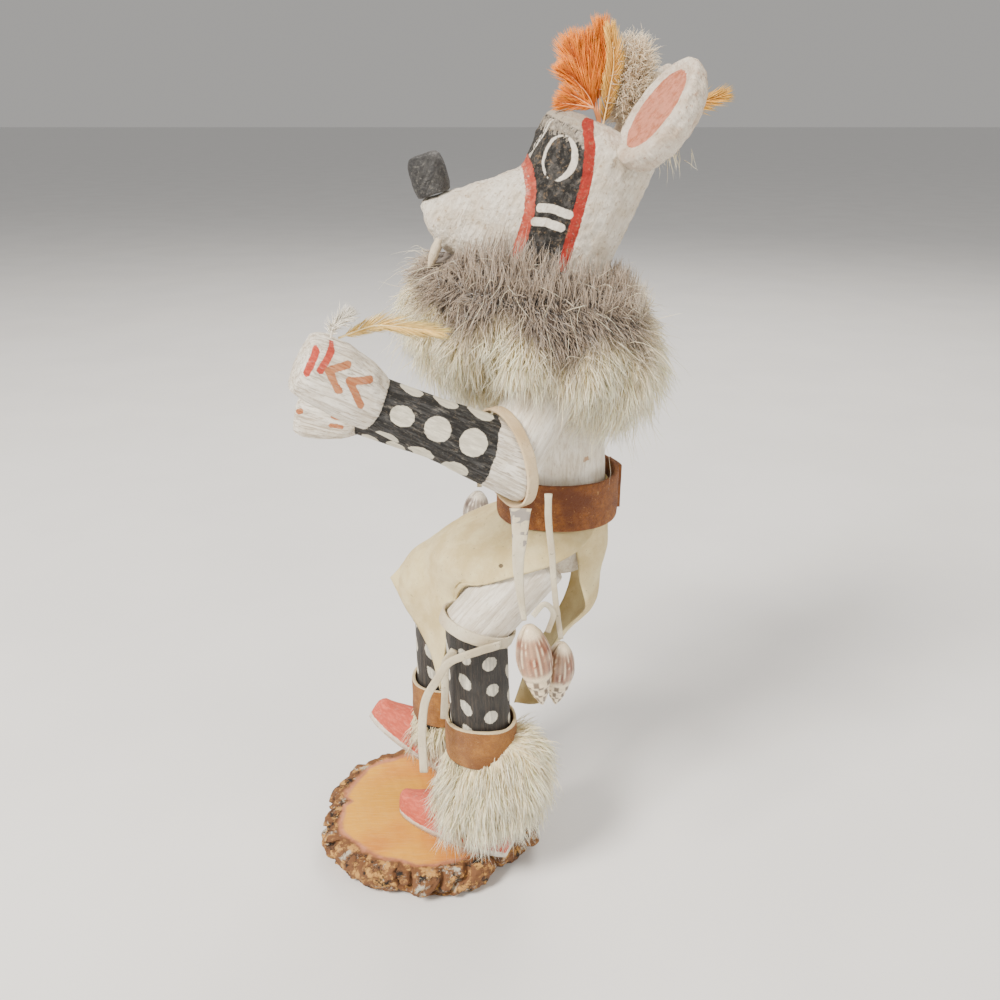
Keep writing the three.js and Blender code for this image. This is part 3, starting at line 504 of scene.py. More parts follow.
def mark_group():
    """A painted mark: 1 inside a shape and 0 outside, from the distance to its outline in millimetres, with
    an edge that a brush left uneven."""

    def build(g, given):
        wander = g.math("SUBTRACT", g.noise(given["Vector"], 0.9, 4.0, 0.65), 0.5)
        shifted = g.math("ADD", given["Distance"], g.math("MULTIPLY", wander, given["Unevenness"]))
        return (g.range(shifted, -0.12, 0.12),)

    return make_group(
        "Painted Mark",
        [("Distance", "Float", 0.0), ("Vector", "Vector", None), ("Unevenness", "Float", 0.8)],
        [("Mask", "Float")], build)


def grit_group():
    """Chalky paint with sand in it: small pale lumps with dark pits between them."""

    def build(g, given):
        cells = g.add("TexVoronoi", Vector=given["Vector"], Scale=1.2, Randomness=1.0).outputs["Distance"]
        lumps = g.math("ADD", g.noise(given["Vector"], 1.3, 5.0, 0.75), g.math("MULTIPLY", cells, -0.5))
        pits = g.range(g.noise(given["Vector"], 1.2, 5.0, 0.75), 0.34, 0.46, 1.0, 0.0)
        return lumps, pits

    return make_group(
        "Gritty Paint", [("Vector", "Vector", None)], [("Height", "Float"), ("Pits", "Float")], build)


def nap_group():
    """Leather nap: broad clouds, short fibres and small specks."""

    def build(g, given):
        clouds = g.noise(given["Vector"], 0.09, 4.0, 0.6)
        fibres = g.noise(given["Vector"], 0.55, 7.0, 0.85)
        specks = g.range(g.noise(given["Vector"], 0.7, 4.0, 0.7), 0.62, 0.70)
        return clouds, fibres, specks

    return make_group(
        "Leather Nap", [("Vector", "Vector", None)],
        [("Clouds", "Float"), ("Fibres", "Float"), ("Specks", "Float")], build)


def new_material(name):
    """A material with its graph and an output, but no shader yet."""
    material = bpy.data.materials.new(name)
    material.use_nodes = True
    material.node_tree.nodes.clear()
    return material, Graph(material.node_tree)


def close_material(graph, colour, roughness, height=None, strength=0.3, distance=0.3, **plain):
    """Adds the shader, its bump and the output. Distance is the bump's depth in millimetres."""
    named = {"Base_Color": colour, "Roughness": roughness, **plain}
    if height is not None:
        bump = graph.add("Bump", Strength=strength, Distance=distance * MM, Height=height)
        named["Normal"] = bump.outputs[0]
    shader = graph.add("BsdfPrincipled", **named)
    out = graph.add("OutputMaterial")
    graph.tree.links.new(shader.outputs[0], out.inputs[0])


def painted_wood(name, ground, shade, layers, grit=0.6, grain=0.5, line=(0.30, 0.22, 0.14), roughness=0.85,
                 draw=0.16, tooth=0.35):
    """Carved wood under chalky paint. Ground is the paint's colour, shade its darker clouds and line the
    colour of the open grain. Each layer is (attribute, pale tone, dark tone, wear, unevenness): a further
    colour inside the outline whose distance the attribute holds, rubbed off by the share of wear. Draw is how
    far the tones run along the grain: 1 for round clouds and less for streaks. Tooth is the depth of the sand
    and the grain in millimetres."""
    material, g = new_material(name)
    at = g.attribute("grain_at", "Vector")
    grains = use_group(g, grain_group(), Vector=at, Scale=0.9)
    sand = use_group(g, grit_group(), Vector=g.stretched(at, *([1.1 - 0.35 * tooth] * 3)))
    clouds = g.range(g.noise(at, 0.16, 4.0), 0.35, 0.68)
    colour = g.mix(clouds, ground, shade)
    open_grain = g.math("SUBTRACT", 1.0, grains.outputs["Mask"])
    colour = g.mix(g.math("MULTIPLY", open_grain, grain), colour, line)
    colour = g.mix(g.math("MULTIPLY", sand.outputs["Pits"], grit * 0.7), colour, line)
    streaks = g.range(g.noise(g.stretched(at, 1, 1, draw), 1.1 - 0.75 * draw, 5.0, 0.7), 0.42, 0.66)
    for attribute, pale, dark, wear, unevenness in layers:
        mask = use_group(g, mark_group(), Distance=g.attribute(attribute), Vector=at, Unevenness=unevenness)
        tone = g.mix(streaks, dark, pale)
        tone = g.mix(g.math("MULTIPLY", sand.outputs["Pits"], grit * 0.4), tone, line)
        worn = g.noise(g.stretched(at, 1, 1, 2 * draw), 0.8, 5.0, 0.7)
        rubbed = g.range(worn, 0.62 - 0.25 * wear, 0.78, 1.0, 1.0 - wear)
        colour = g.mix(g.math("MULTIPLY", mask.outputs[0], rubbed), colour, tone)
    lines = g.math("MULTIPLY", grains.outputs["Height"], grain)
    height = g.math("ADD", lines, g.math("MULTIPLY", sand.outputs["Height"], grit))
    close_material(g, colour, roughness, height, 0.7, tooth)
    return material


def leather(name, pale, dark, speck, fibre=0.35, roughness=0.9, edge=None, nap_depth=0.25):
    """Soft leather: clouds between two colours, a short nap and small specks. Edge, if given, is the colour
    of the cut edge, where the attribute named edge is under a millimetre; on the kilt it is a dark dot of
    painted shade that stands for the hole."""
    material, g = new_material(name)
    at = g.millimetres()
    nap = use_group(g, nap_group(), Vector=at)
    colour = g.mix(g.range(nap.outputs["Clouds"], 0.3, 0.7), pale, dark)
    fibres = g.range(nap.outputs["Fibres"], 0.36, 0.62)
    colour = g.mix(g.math("MULTIPLY", fibres, fibre), colour, dark)
    colour = g.mix(g.math("MULTIPLY", nap.outputs["Specks"], 0.75), colour, speck)
    if edge:
        mask = use_group(g, mark_group(), Distance=g.attribute("edge"), Vector=at, Unevenness=0.5)
        colour = g.mix(mask.outputs[0], edge, colour)
    close_material(g, colour, roughness, fibres, 0.6, nap_depth, Sheen_Weight=0.1, Sheen_Roughness=0.6)
    return material


def hair_material(name, roughness=0.6, sheen=0.5):
    """Fur or feather: the colour that each strand carries, a little uneven along it."""
    material, g = new_material(name)
    at = g.millimetres()
    base = g.attribute("strand_colour", "Color")
    colour = g.mix(g.range(g.noise(at, 0.5, 3.0), 0.45, 0.8, 0.0, 0.22), base, (0.50, 0.40, 0.28), "MULTIPLY")
    close_material(g, colour, roughness, Sheen_Weight=sheen)
    return material


def colour_material(name, roughness, bump_scale, strength, **plain):
    """The colour that the attribute surface_colour holds, with a fine tooth."""
    material, g = new_material(name)
    at = g.millimetres()
    base = g.attribute("surface_colour", "Color")
    tooth = g.noise(at, bump_scale, 4.0, 0.65)
    colour = g.mix(g.range(tooth, 0.35, 0.7, 0.0, 0.3), base, (0.35, 0.28, 0.2), "MULTIPLY")
    close_material(g, colour, roughness, tooth, strength, 0.3, **plain)
    return material


# ---------------------------------------------------------------- colours

WHITE = (0.84, 0.80, 0.71)
WHITE_SHADE = (0.72, 0.66, 0.55)
BLACK_PALE = (0.05, 0.05, 0.05)
BLACK_DARK = (0.007, 0.0065, 0.006)
CREAM_DOT = (0.80, 0.76, 0.62)
SALMON = (0.74, 0.17, 0.105)
SALMON_DARK = (0.56, 0.10, 0.06)
PINK = (0.46, 0.145, 0.07)
RED = (0.40, 0.024, 0.012)
RUST = (0.38, 0.11, 0.035)
CHAMOIS = (0.82, 0.71, 0.40)
CHAMOIS_DARK = (0.62, 0.48, 0.22)

# ---------------------------------------------------------------- log slice


def bark_reach(angle):
    """How far the bark stands out at an angle: broad plates broken by a few cracks."""
    plates = 0.9 * np.sin(2 * angle + 0.6) + 0.8 * np.sin(5 * angle + 2.1) + 0.6 * np.sin(11 * angle)
    turned = np.mod(angle - math.radians(178) + np.pi, 2 * np.pi) - np.pi
    return BASE_R + plates - 3.2 * np.exp(-((turned / 0.07) ** 2))


def log_ring(angles, r, z):
    """The slice's outline at a radius for each angle, drawn in along Y, at a level."""
    return np.stack([r * np.cos(angles), BASE_OVAL * r * np.sin(angles), np.full_like(angles, z)], axis=1)


def log_slice():
    """Rings from the underside up the bark and in over the sawn top. Each point's radius is the bark's reach
    less an inset, and layered noise breaks the bark into lumps and cracks."""
    angles = turn_angles(400)
    rise = np.linspace(0, 1, 34)
    bulge = np.interp(rise, [0, 0.2, 0.5, 0.8, 1], [-4.4, -1.2, 0.7, 0.4, -1.6])
    sides = [(BASE_H * z, reach, 1.0) for z, reach in zip(rise, bulge)]
    over = [(BASE_H + 0.25 * math.sin(math.pi * t), -1.6 - 4.4 * t, 1 - t) for t in np.linspace(0.12, 1, 12)]
    rows, rims = [], []
    for z, reach, lump in sides + over:
        r = bark_reach(angles) + reach
        p = log_ring(angles, r, z)
        cracks = np.abs(noise(p * vec(1, 1, 0.55), 8, 3))
        rough = 2.2 * fbm(p, 7, 5, 5) - 3.6 * smooth(0.14, 0.0, cracks) + 0.8
        stand = lump * smooth(-0.5, 2.5, z) * np.where(z < BASE_H - 0.1, 1.0, 0.6)
        away = p[:, :2] / np.linalg.norm(p[:, :2], axis=1, keepdims=True)
        p[:, :2] += away * (rough * stand)[:, None]
        p[:, 2] += np.where(z > 2, 0.45 * fbm(p, 3, 3, 9) * lump, 0)
        p[:, 2] = np.clip(p[:, 2], 0, BASE_H + 0.9)
        rows.append(p)
        rims.append(np.full(len(angles), reach + BARK))
    inner = bark_reach(angles) - BARK
    for share in 1 - np.linspace(0.02, 0.98, 24) ** 1.2:
        r = inner * share
        p = log_ring(angles, r, BASE_H)
        p[:, 2] += 0.05 * noise(p, 1.2, 21) - 0.04 * np.sin(p[:, 0] * 1.4 + p[:, 1] * 0.5)
        rows.append(p)
        rims.append(r - inner)
    shape = loft(rows)
    rim = np.concatenate([*rims, [-BASE_R], [-BASE_R]])
    rim[-2] = 10
    rim += 0.7 * fbm(shape.points, 6, 3, 31)
    return shape, rim


def base(materials):
    """The slice of log as a piece."""
    shape, rim = log_slice()
    piece("log_slice_with_bark", shape, materials["log"], ["log_slice_base"], {"rim": rim})


def log_material():
    """Sawn end grain inside a pinkish cambium line, and rough bark in brown, gold and grey outside it, near
    black where
    its lumps lie low: partly the furrows' own dark colour, partly painted shade in them. The attribute rim is
    the distance outside the wood's edge."""
    material, g = new_material("log_wood_and_bark")
    at = g.millimetres()
    rim = g.attribute("rim")
    level = g.stretched(at, 1, 1 / BASE_OVAL, 0)
    radius = g.add("VectorMath", level, settings={"operation": "LENGTH"}).outputs[1]
    wander = g.math("MULTIPLY", g.noise(at, 0.05, 3.0), 9.0)
    rings = g.math("SINE", g.math("MULTIPLY", g.math("ADD", radius, wander), 2.3))
    wood = g.mix(g.range(g.noise(at, 0.035, 2.0), 0.38, 0.62), (0.70, 0.33, 0.022), (0.58, 0.21, 0.02))
    wood = g.mix(g.range(rings, -0.2, 1.0, 0.0, 0.07), wood, (0.55, 0.30, 0.12))
    pores = g.range(g.noise(at, 1.6, 3.0, 0.7), 0.56, 0.74, 0.0, 0.45)
    wood = g.mix(pores, wood, (0.42, 0.22, 0.09))
    saw = g.range(g.noise(g.stretched(at, 0.25, 2.6, 1), 0.8, 3.0), 0.4, 0.7, 0.0, 0.18)
    wood = g.mix(saw, wood, (0.86, 0.56, 0.20))
    cambium = g.mix(g.range(g.noise(at, 0.3, 3.0), 0.35, 0.65), (0.52, 0.22, 0.12), (0.38, 0.15, 0.07))
    lumps = g.noise(at, 0.22, 6.0, 0.7)
    # Painted shade: the bark goes near black where its lumps, which are also its bump, lie low. This is
    # partly the furrows' own dark and partly the shade in them.
    bark = g.mix(g.range(lumps, 0.38, 0.5), (0.006, 0.004, 0.003), (0.15, 0.062, 0.022))
    bark = g.mix(g.range(g.noise(at, 0.26, 5.0, 0.7), 0.5, 0.62), bark, (0.48, 0.25, 0.065))
    bark = g.mix(g.range(g.noise(at, 0.16, 5.0, 0.75), 0.56, 0.66), bark, (0.42, 0.38, 0.30))
    colour = g.mix(g.range(rim, -1.6, 0.2), wood, cambium)
    colour = g.mix(g.range(rim, 0.4, 1.9), colour, bark)
    height = g.math("ADD", g.math("MULTIPLY", lumps, g.range(rim, 0, 2)), g.math("MULTIPLY", pores, -0.3))
    close_material(g, colour, 0.85, height, 0.7, 0.8)
    return material


# ---------------------------------------------------------------- limbs


# Rings that close the end of a dowel: their share of its radius, and how far back from the cut they lie.
CAPS = [(0.12, 0), (0.4, 0), (0.7, 0), (0.9, 0), (0.965, 0.12), (1.0, 0.75)]
EASE = CAPS[-1][1]


def limb(start, run, radius, around, rows, low_cut=None, high_cut=None, length=None):
    """A dowel as rings of points: start plus the radius about the axis plus the run along it. An end cut is a
    (point, normal) plane, where each line of the surface stops; the edge is eased and the plane closed by
    smaller rings. Gives the shape, and each point's place across and along the limb."""
    across, upward = cross_axes(run)
    angles = turn_angles(around)

    def stop(cut, share, fallback):
        """A ring's spread from the axis, and where along it the ring meets the cut, or a fallback."""
        spread = radius * share * (np.cos(angles)[:, None] * across + np.sin(angles)[:, None] * upward)
        if cut is None:
            return spread, np.full(around, float(fallback))
        point, normal = cut
        return spread, ((point - start - spread) @ normal) / (run @ normal)

    rings = []
    for share, back in CAPS:
        spread, s = stop(low_cut, share, 0)
        rings.append(start + spread + (s + back)[:, None] * run)
    _, low = stop(low_cut, 1, 0)
    _, high = stop(high_cut, 1, length)
    spread, _ = stop(None, 1, 0)
    for t in np.linspace(0, 1, rows + 2)[1:-1]:
        s = mix(low + EASE, high - EASE, t)
        rings.append(start + spread + s[:, None] * run)
    for share, back in reversed(CAPS):
        spread, s = stop(high_cut, share, length)
        rings.append(start + spread + (s - back)[:, None] * run)
    shape = loft(rings)
    return shape, local_axes(shape.points, start, across, upward, run)


def local_axes(points, origin, *axes):
    """Each point's place from an origin along three axes, in millimetres."""
    return (points - origin) @ np.stack(axes, axis=1)


def grooves(place, depth, seed=0):
    """Open wood grain as relief: long shallow checks along the last axis."""
    q = place * vec(1, 1, 0.06)
    broad = 0.35 * depth * smooth(0.1, 0.6, fbm(q, 4, 2, seed + 9))
    return -depth * smooth(0.25, 0.7, fbm(q, 1.1, 3, seed)) - broad


def wooden(name, shape, place, material, nodes, depth=0.22, marks=None, seed=0):
    """A carved wooden piece with its grain as relief and its painted marks as attributes."""
    shape.relief(grooves(place, depth, seed))
    return piece(name, shape, material, nodes, {"grain_at": place, **(marks or {})})


def surface_ovals(place, radius, spots):
    """The distance inside the nearest of some ovals on a round limb. Each spot is (angle in degrees, height
    along, half width round, half height along, lean in degrees)."""
    angle = np.degrees(np.arctan2(place[:, 1], place[:, 0]))
    best = np.full(len(place), -50.0)
    for centre, along, wide, tall, lean in spots:
        u = radius * np.radians((angle - centre + 180) % 360 - 180)
        v = place[:, 2] - along
        c, s = math.cos(math.radians(lean)), math.sin(math.radians(lean))
        p, q = (u * c + v * s) / wide, (v * c - u * s) / tall
        best = np.maximum(best, (1 - np.hypot(p, q)) * min(wide, tall))
    return best


def shin_spots(seed):
    """Pale ovals round a shin in columns, leaning alternately to each side."""
    rng = np.random.default_rng(seed)
    spots = []
    for column in range(7):
        odd = column % 2
        lean, wide, tall = ((28, 1.9, 3.3), (-40, 2.7, 2.6))[odd]
        for row in range(7):
            angle = 155 + column * 360 / 7 + rng.uniform(-3, 3)
            height = 46.4 + row * 10.3 - odd * 4 + rng.uniform(-0.6, 0.6)
            spots.append((angle, height, wide * rng.uniform(0.9, 1.1), tall * rng.uniform(0.9, 1.1), lean))
    return spots


def legs(materials):
    """Shins and thighs, cut to each other in the plane of the knee."""
    for limbs in SIDES:
        start = vec(limbs.ankle[0], limbs.ankle[1], limbs.ankle[2] - 2)
        run = unit(limbs.knee - limbs.ankle)
        cut = (limbs.knee - limbs.knee_bend * GAP / 2, limbs.knee_bend)
        shape, place = limb(start, run, LEG_R, 72, 62, high_cut=cut)
        place = place + vec(0, 0, start[2])
        dots = surface_ovals(place, LEG_R, shin_spots(11 if limbs is LEFT else 12))
        wooden(f"{limbs.name}_painted_shin", shape, place, materials["black"],
               [f"{limbs.name}_shin"], 0.16, {"paint_dots": dots}, 40)
        cut = (limbs.knee + limbs.knee_bend * GAP / 2, limbs.knee_bend)
        reach = np.linalg.norm(limbs.hip - limbs.knee)
        shape, place = limb(limbs.knee, limbs.thigh_run, LEG_R, 72, 46, low_cut=cut, length=reach)
        wooden(f"{limbs.name}_carved_thigh", shape, place, materials["white"],
               [f"{limbs.name}_thigh"], 0.3, None, 50)


def foot_shape():
    """A moccasin: stations along the sole, whose height falls from the ankle to the toe and whose plan tapers
    to a blunt point, each a rounded rectangle cut flat at the sole."""
    angles = turn_angles(56)
    rings = []
    for t in np.concatenate([[0.0, 0.004], np.linspace(0.02, 0.98, 40), [0.996, 1.0]]):
        plan = math.sqrt(max(0, 1 - abs(2 * t - 0.86) ** 3.2 / 1.6)) * mix(1, 0.62, t * t)
        rise = mix(FOOT.ankle, FOOT.toe, smooth(0.3, 0.95, t))
        ease = {0.0: 0.72, 1.0: 0.72}.get(t, 1 - 0.24 * max(0, 1 - min(t, 1 - t) / 0.03))
        y, z = section(angles, FOOT.width / 2 * plan * (0.9 if t in (0.0, 1.0) else 1), rise * ease, 2.6)
        y = y * np.where(z < 0, 0.96, 1)
        rings.append(np.stack([np.full_like(y, t * FOOT.length - FOOT.heel), y, np.maximum(z, 0)], axis=1))
    return loft(rings)


def turning(angle, first, second):
    """The matrix that turns points by an angle from one axis towards another."""
    matrix = np.eye(3)
    matrix[[first, second], [first, second]] = math.cos(angle)
    matrix[second, first] = math.sin(angle)
    matrix[first, second] = -math.sin(angle)
    return matrix


def feet(materials):
    """Both feet: turned out about the ankle, and the right one tipped up on its heel."""
    for limbs in SIDES:
        shape = foot_shape()
        place = shape.points.copy()
        shape.relief(0.16 * fbm(place, 5, 3, 60) * smooth(0.0, 1.0, place[:, 2]))
        turn, tip = math.pi + math.radians(limbs.toe_out), -math.radians(limbs.toe_up)
        shape.points = shape.points @ (turning(turn, 0, 1) @ turning(tip, 2, 0)).T + limbs.sole
        upper = place[:, 2] - 2.3 - 0.25 * noise(place, 4, 61)
        piece(f"{limbs.name}_moccasin", shape, materials["foot"], [f"{limbs.name}_foot"],
              {"grain_at": place[:, [1, 2, 0]], "paint_upper": upper})


def torso(materials):
    """The carved body: superellipses from level to level, with the grain upright."""
    levels = np.array([
        [119, 47, 9, 8.5], [121.5, 47.2, 13, 12], [127, 47.3, 15.8, 15], [136, 47.2, 16.6, 15.8],
        [148, WAIST.x, WAIST.a, WAIST.b], [160, 46.8, 16.4, 16.2], [172, 45.6, 16.6, 17.6],
        [184, 44.6, 16.6, 19.6], [195, 43.8, 15.6, 20.4], [202, 43.2, 13.4, 18], [206, 42.6, 10.6, 12]])
    angles = turn_angles(84)
    rings = []
    for z in np.linspace(levels[0, 0], levels[-1, 0], 70):
        x, a, b = (np.interp(z, levels[:, 0], levels[:, k]) for k in (1, 2, 3))
        rings.append(ring(vec(x, 0, z), vec(1, 0, 0), vec(0, 1, 0), angles, a, b, 2.2))
    shape = loft(rings)
    place = shape.points - vec(45, 0, 0)
    scuff = 0.75 - np.hypot((shape.points[:, 0] - 55.5) / 1.8, (shape.points[:, 2] - 163.5) / 1.2)
    scuff = np.where(shape.points[:, 1] < 0, scuff, -9)
    wooden("carved_torso", shape, place, materials["torso"], ["torso"], 0.3,
           {"paint_scuff": scuff}, 70)


def stroke(u, v, points, half):
    """The distance inside a brush stroke of a given half width along a line of points in the plane."""
    best = np.full(np.shape(u), 1e9)
    for (x0, y0), (x1, y1) in zip(points[:-1], points[1:]):
        dx, dy = x1 - x0, y1 - y0
        t = np.clip(((u - x0) * dx + (v - y0) * dy) / (dx * dx + dy * dy), 0, 1)
        best = np.minimum(best, np.hypot(u - x0 - t * dx, v - y0 - t * dy))
    return half - best


def hand_marks(limbs, place, length):
    """The painted fist: two red bars over the knuckles and two rust chevrons behind them, on the outer side.
    Place is across, down and along."""
    outer = limbs.side * place[:, 0] > -1.5
    along, down = place[:, 2] - length, place[:, 1] - 0.8 * limbs.palm_drop
    bars = np.maximum(
        stroke(along, down, [(22.2, -6.6), (22.0, -0.4)], 1.0),
        stroke(along, down, [(18.6, -8.2), (19.2, -2.6)], 1.0))
    chevrons = np.maximum(
        stroke(along, down, [(13.4, -7.0), (17.4, -3.6), (12.4, 0.6)], 1.0),
        stroke(along, down, [(6.4, -5.4), (11.4, -3.4), (5.6, 1.6)], 1.0))
    inner = np.maximum(
        stroke(along, down, [(4.0, -3.0), (8.6, -2.2)], 0.8),
        stroke(along, down, [(4.4, 0.4), (8.8, 1.0)], 0.8))
    inner = np.maximum(inner, stroke(along, down, [(21.0, -1.5), (22.0, -1.0)], 1.1))
    return np.where(outer, bars, -9), np.where(outer, chevrons, inner if limbs is RIGHT else -9)


def arm_spots(length):
    """Cream dots in rings of five round the forearm, smaller towards the wrist."""
    rings = ((length - 27.5, 202, 4.1), (length - 16.6, 199, 3.9), (length - 6.1, 194, 3.5))
    return [(first + 72 * k, along - 0.8 * (k % 2), half, half, 0)
            for along, first, half in rings for k in range(5)]


EVEN_FROM = 26.0  # where the rings of the forearm stand square again, past the slant of the elbow


def fore_arm(limbs):
    """The forearm and its fist: round at the elbow, tapering to the wrist, then a rounded block. Stations
    give the place along, the half width, the half height, the section's power and the drop of the fist."""
    run = limbs.fore_run
    across, downward = cross_axes(run)
    length = np.linalg.norm(limbs.wrist - limbs.elbow)
    drop = limbs.palm_drop
    table = np.array([
        [0, ARM_R, ARM_R, 2, 0], [length - 4, WRIST_R + 0.2, WRIST_R + 0.2, 2, 0],
        [length - 0.3, WRIST_R, WRIST_R, 2, 0], [length + 0.6, WRIST_R + 0.5, WRIST_R + 0.6, 2.3, 0],
        [length + 5, 8.3, 8.8, 2.8, 0.4 * drop], [length + 13, 8.7, 9.2, 3.6, 0.8 * drop],
        [length + 20, 8.5, 8.7, 3.8, 0.3 + drop], [length + 22.8, 7.9, 7.9, 3.6, 0.4 + drop],
        [length + 23.8, 7.2, 7.1, 3.4, 0.5 + drop], [length + 24.2, 4.4, 4.2, 3, 0.5 + drop]])
    angles = turn_angles(96)
    cut = (limbs.elbow + limbs.elbow_bend * GAP / 2, limbs.elbow_bend)
    spread = ARM_R * (np.cos(angles)[:, None] * across + np.sin(angles)[:, None] * downward)
    low = ((cut[0] - limbs.elbow - spread) @ cut[1]) / (run @ cut[1])
    rings = []
    for share, back in CAPS:
        s = ((cut[0] - limbs.elbow - share * spread) @ cut[1]) / (run @ cut[1]) + back
        rings.append(limbs.elbow + share * spread + s[:, None] * run)
    arm, fist = np.linspace(0, length - 1, 64)[1:], np.linspace(length - 0.3, length + 24.2, 44)
    for s in np.concatenate([arm, fist]):
        half, tall, power, fall = (np.interp(s, table[:, 0], table[:, k]) for k in (1, 2, 3, 4))
        u, v = section(angles, half, tall, power)
        along = mix(low + EASE, EVEN_FROM, min(s / EVEN_FROM, 1)) + max(s - EVEN_FROM, 0)
        place = u[:, None] * across + (v + fall)[:, None] * downward + along[:, None] * run
        rings.append(limbs.elbow + place)
    shape = loft(rings)
    return shape, local_axes(shape.points, limbs.elbow, across, downward, run), length


def arms(materials):
    """Upper arms and forearms, cut to each other in the plane of the elbow."""
    for limbs in SIDES:
        cut = (limbs.elbow - limbs.elbow_bend * GAP / 2, limbs.elbow_bend)
        shape, place = limb(limbs.shoulder, limbs.upper_run, ARM_R - 0.2, 72, 44, high_cut=cut)
        wooden(f"{limbs.name}_carved_upper_arm", shape, place, materials["white"],
               [f"{limbs.name}_upper_arm"], 0.3, None, 80)
        shape, place, length = fore_arm(limbs)
        hand = place[:, 2] - length + 0.6 * noise(place, 5, 81)
        turn = np.arctan2(place[:, 1], place[:, 0])
        sleeve_start = 6.6 + 2.1 * np.cos(turn - math.radians(245)) + 0.5 * noise(place, 3, 82)
        black = np.minimum(place[:, 2] - sleeve_start, -hand)
        dots = np.minimum(surface_ovals(place, 9.3, arm_spots(length)), -hand)
        bars, chevrons = hand_marks(limbs, place, length)
        beyond = smooth(length, length + 4, place[:, 2])
        shape.relief(0.28 * fbm(place, 7, 3, 83) * beyond)
        wooden(f"{limbs.name}_painted_forearm", shape, place, materials["forearm"],
               [f"{limbs.name}_forearm"], 0.24,
               {"paint_black": black, "paint_dots": dots, "paint_bars": bars, "paint_chevrons": chevrons}, 84)


# ---------------------------------------------------------------- mask, nose and fangs

MASK_TOP = vec(57.5, 0, 259.1)
LEAN = math.radians(MASK_LEAN)
MASK_UP = vec(math.sin(LEAN), 0, math.cos(LEAN))
MASK_FORWARD = vec(-MASK_UP[2], 0, MASK_UP[0])
MASK_ACROSS = vec(0, 1, 0)


def on_mask(forward, across, up):
    """A point given along the mask's own axes."""
    return MASK_TOP + forward * MASK_FORWARD + across * MASK_ACROSS + up * MASK_UP


def mask_places(points):
    """Each point along the mask's own axes: forward, across, up."""
    return local_axes(points, MASK_TOP, MASK_FORWARD, MASK_ACROSS, MASK_UP)


def mask_shape():
    """The union of a cylinder with a rounded crown and a snout of rounded rectangles, smoothed where they
    meet. The crown's rows are (level, share of the radius), and the snout's (forward, top, underside, half
    width)."""
    angles = turn_angles(120)
    crown = [(-MASK_LENGTH, 1), (-2.5, 1), (-0.6, 0.99), (0.9, 0.955), (2.1, 0.9), (3.2, 0.8), (3.9, 0.68),
             (4.3, 0.5), (4.45, 0.25)]
    case = loft([
        ring(on_mask(2.2 * (1 - k), 0, up), MASK_FORWARD, MASK_ACROSS, angles, MASK_R * k, MASK_R * k)
        for up, k in crown])
    table = [
        (6, -9, -49.3, 15.8), (15, -12.1, -49.3, 13.9), (19, -16.2, -48.9, 12.9), (25, -22.2, -48.5, 11.1),
        (31, -27.2, -47.7, 9.9), (34.6, -30.3, -45.9, 9.2), (37, -32.3, -44.4, 8.3),
        (39.5, -34.5, -41.6, 6.9), (41.8, -36.6, -38.6, 4.6)]
    muzzle = loft([
        ring(on_mask(ahead, 0, (top + low) / 2), MASK_ACROSS, MASK_UP, angles, half, (top - low) / 2, 2.7)
        for ahead, top, low, half in table])
    return rebuilt([case, muzzle], 0.74).smoothed(3)


def face_marks(place):
    """The painted face, the same on both sides, as distances inside each colour's outline. The round of the
    case is unrolled to an arc a from the front, and the eye lies along axes turned by the mask's lean."""
    forward, across, up = place.T
    arc = MASK_R * np.arctan2(np.abs(across), forward)
    rear_line = [(15.5, 7.4), (18.7, 4.9), (22.6, 1.1), (25.5, -3.3), (28.0, -9.8), (29.4, -16.6),
                 (30.6, -23.6), (31.9, -31.7), (33.2, -42)]
    front_line = [(20.5, -12.2), (16.9, -15.4), (13.9, -20.1), (11.6, -26.6), (10.8, -33.0), (10.6, -36.4),
                  (10.4, -45)]
    rear = stroke(arc, up, rear_line, 1.55)
    rear = np.where(up > 3.4, rear - (up - 3.4) * 0.5, rear)
    front = stroke(forward, up, front_line, 1.55)
    ups = [p[1] for p in reversed(rear_line)]
    before_rear = np.interp(up, ups, [p[0] for p in reversed(rear_line)]) - arc
    ups = [p[1] for p in reversed(front_line)]
    behind_front = np.interp(up, ups, [p[0] for p in reversed(front_line)], right=40) - forward
    between = np.minimum(before_rear, behind_front)
    black = np.minimum(between, 0.8 * (0.5 - up) - 0.02 * arc)
    tilt = math.radians(21)
    u, v = arc * math.cos(tilt) + up * math.sin(tilt), up * math.cos(tilt) - arc * math.sin(tilt)
    u, v = u - 13.6, v + 14.9

    def oval(x, y, wide, tall):
        """The distance inside an oval about a point of the eye."""
        return (1 - np.hypot((u - x) / wide, (v - y) / tall)) * wide

    whole = oval(0, 0, 5.9, 6.4)
    left = np.minimum(np.minimum(whole, -oval(1.15, -0.5, 5.9, 6.5)), 0.8 - u)
    right = np.minimum(np.minimum(whole, -oval(-2.0, 0.5, 5.9, 6.6)), u + 0.6)
    dashes = np.maximum(
        stroke(u, v, [(-4.3, -13.9), (-0.4, -13.9), (4.6, -15.4)], 1.2),
        stroke(u, v, [(-5.6, -17.8), (-2, -17.8), (2.6, -19.1)], 1.2))
    lines = np.maximum(
        stroke(arc, up, [(9.4, -0.6), (7.4, -7.4), (6.0, -12.4)], 0.4),
        stroke(arc, up, [(7.9, -0.6), (6.0, -7.4), (4.7, -12.0)], 0.26))
    whites = np.maximum(np.maximum(left, right), np.maximum(dashes, lines))
    brow = np.minimum(between, 9)
    dust = np.minimum(black, up + 3.5)
    return {"paint_brow": brow, "paint_black": black, "paint_dust": dust, "paint_red": rear,
            "paint_front_red": front, "paint_white": whites}


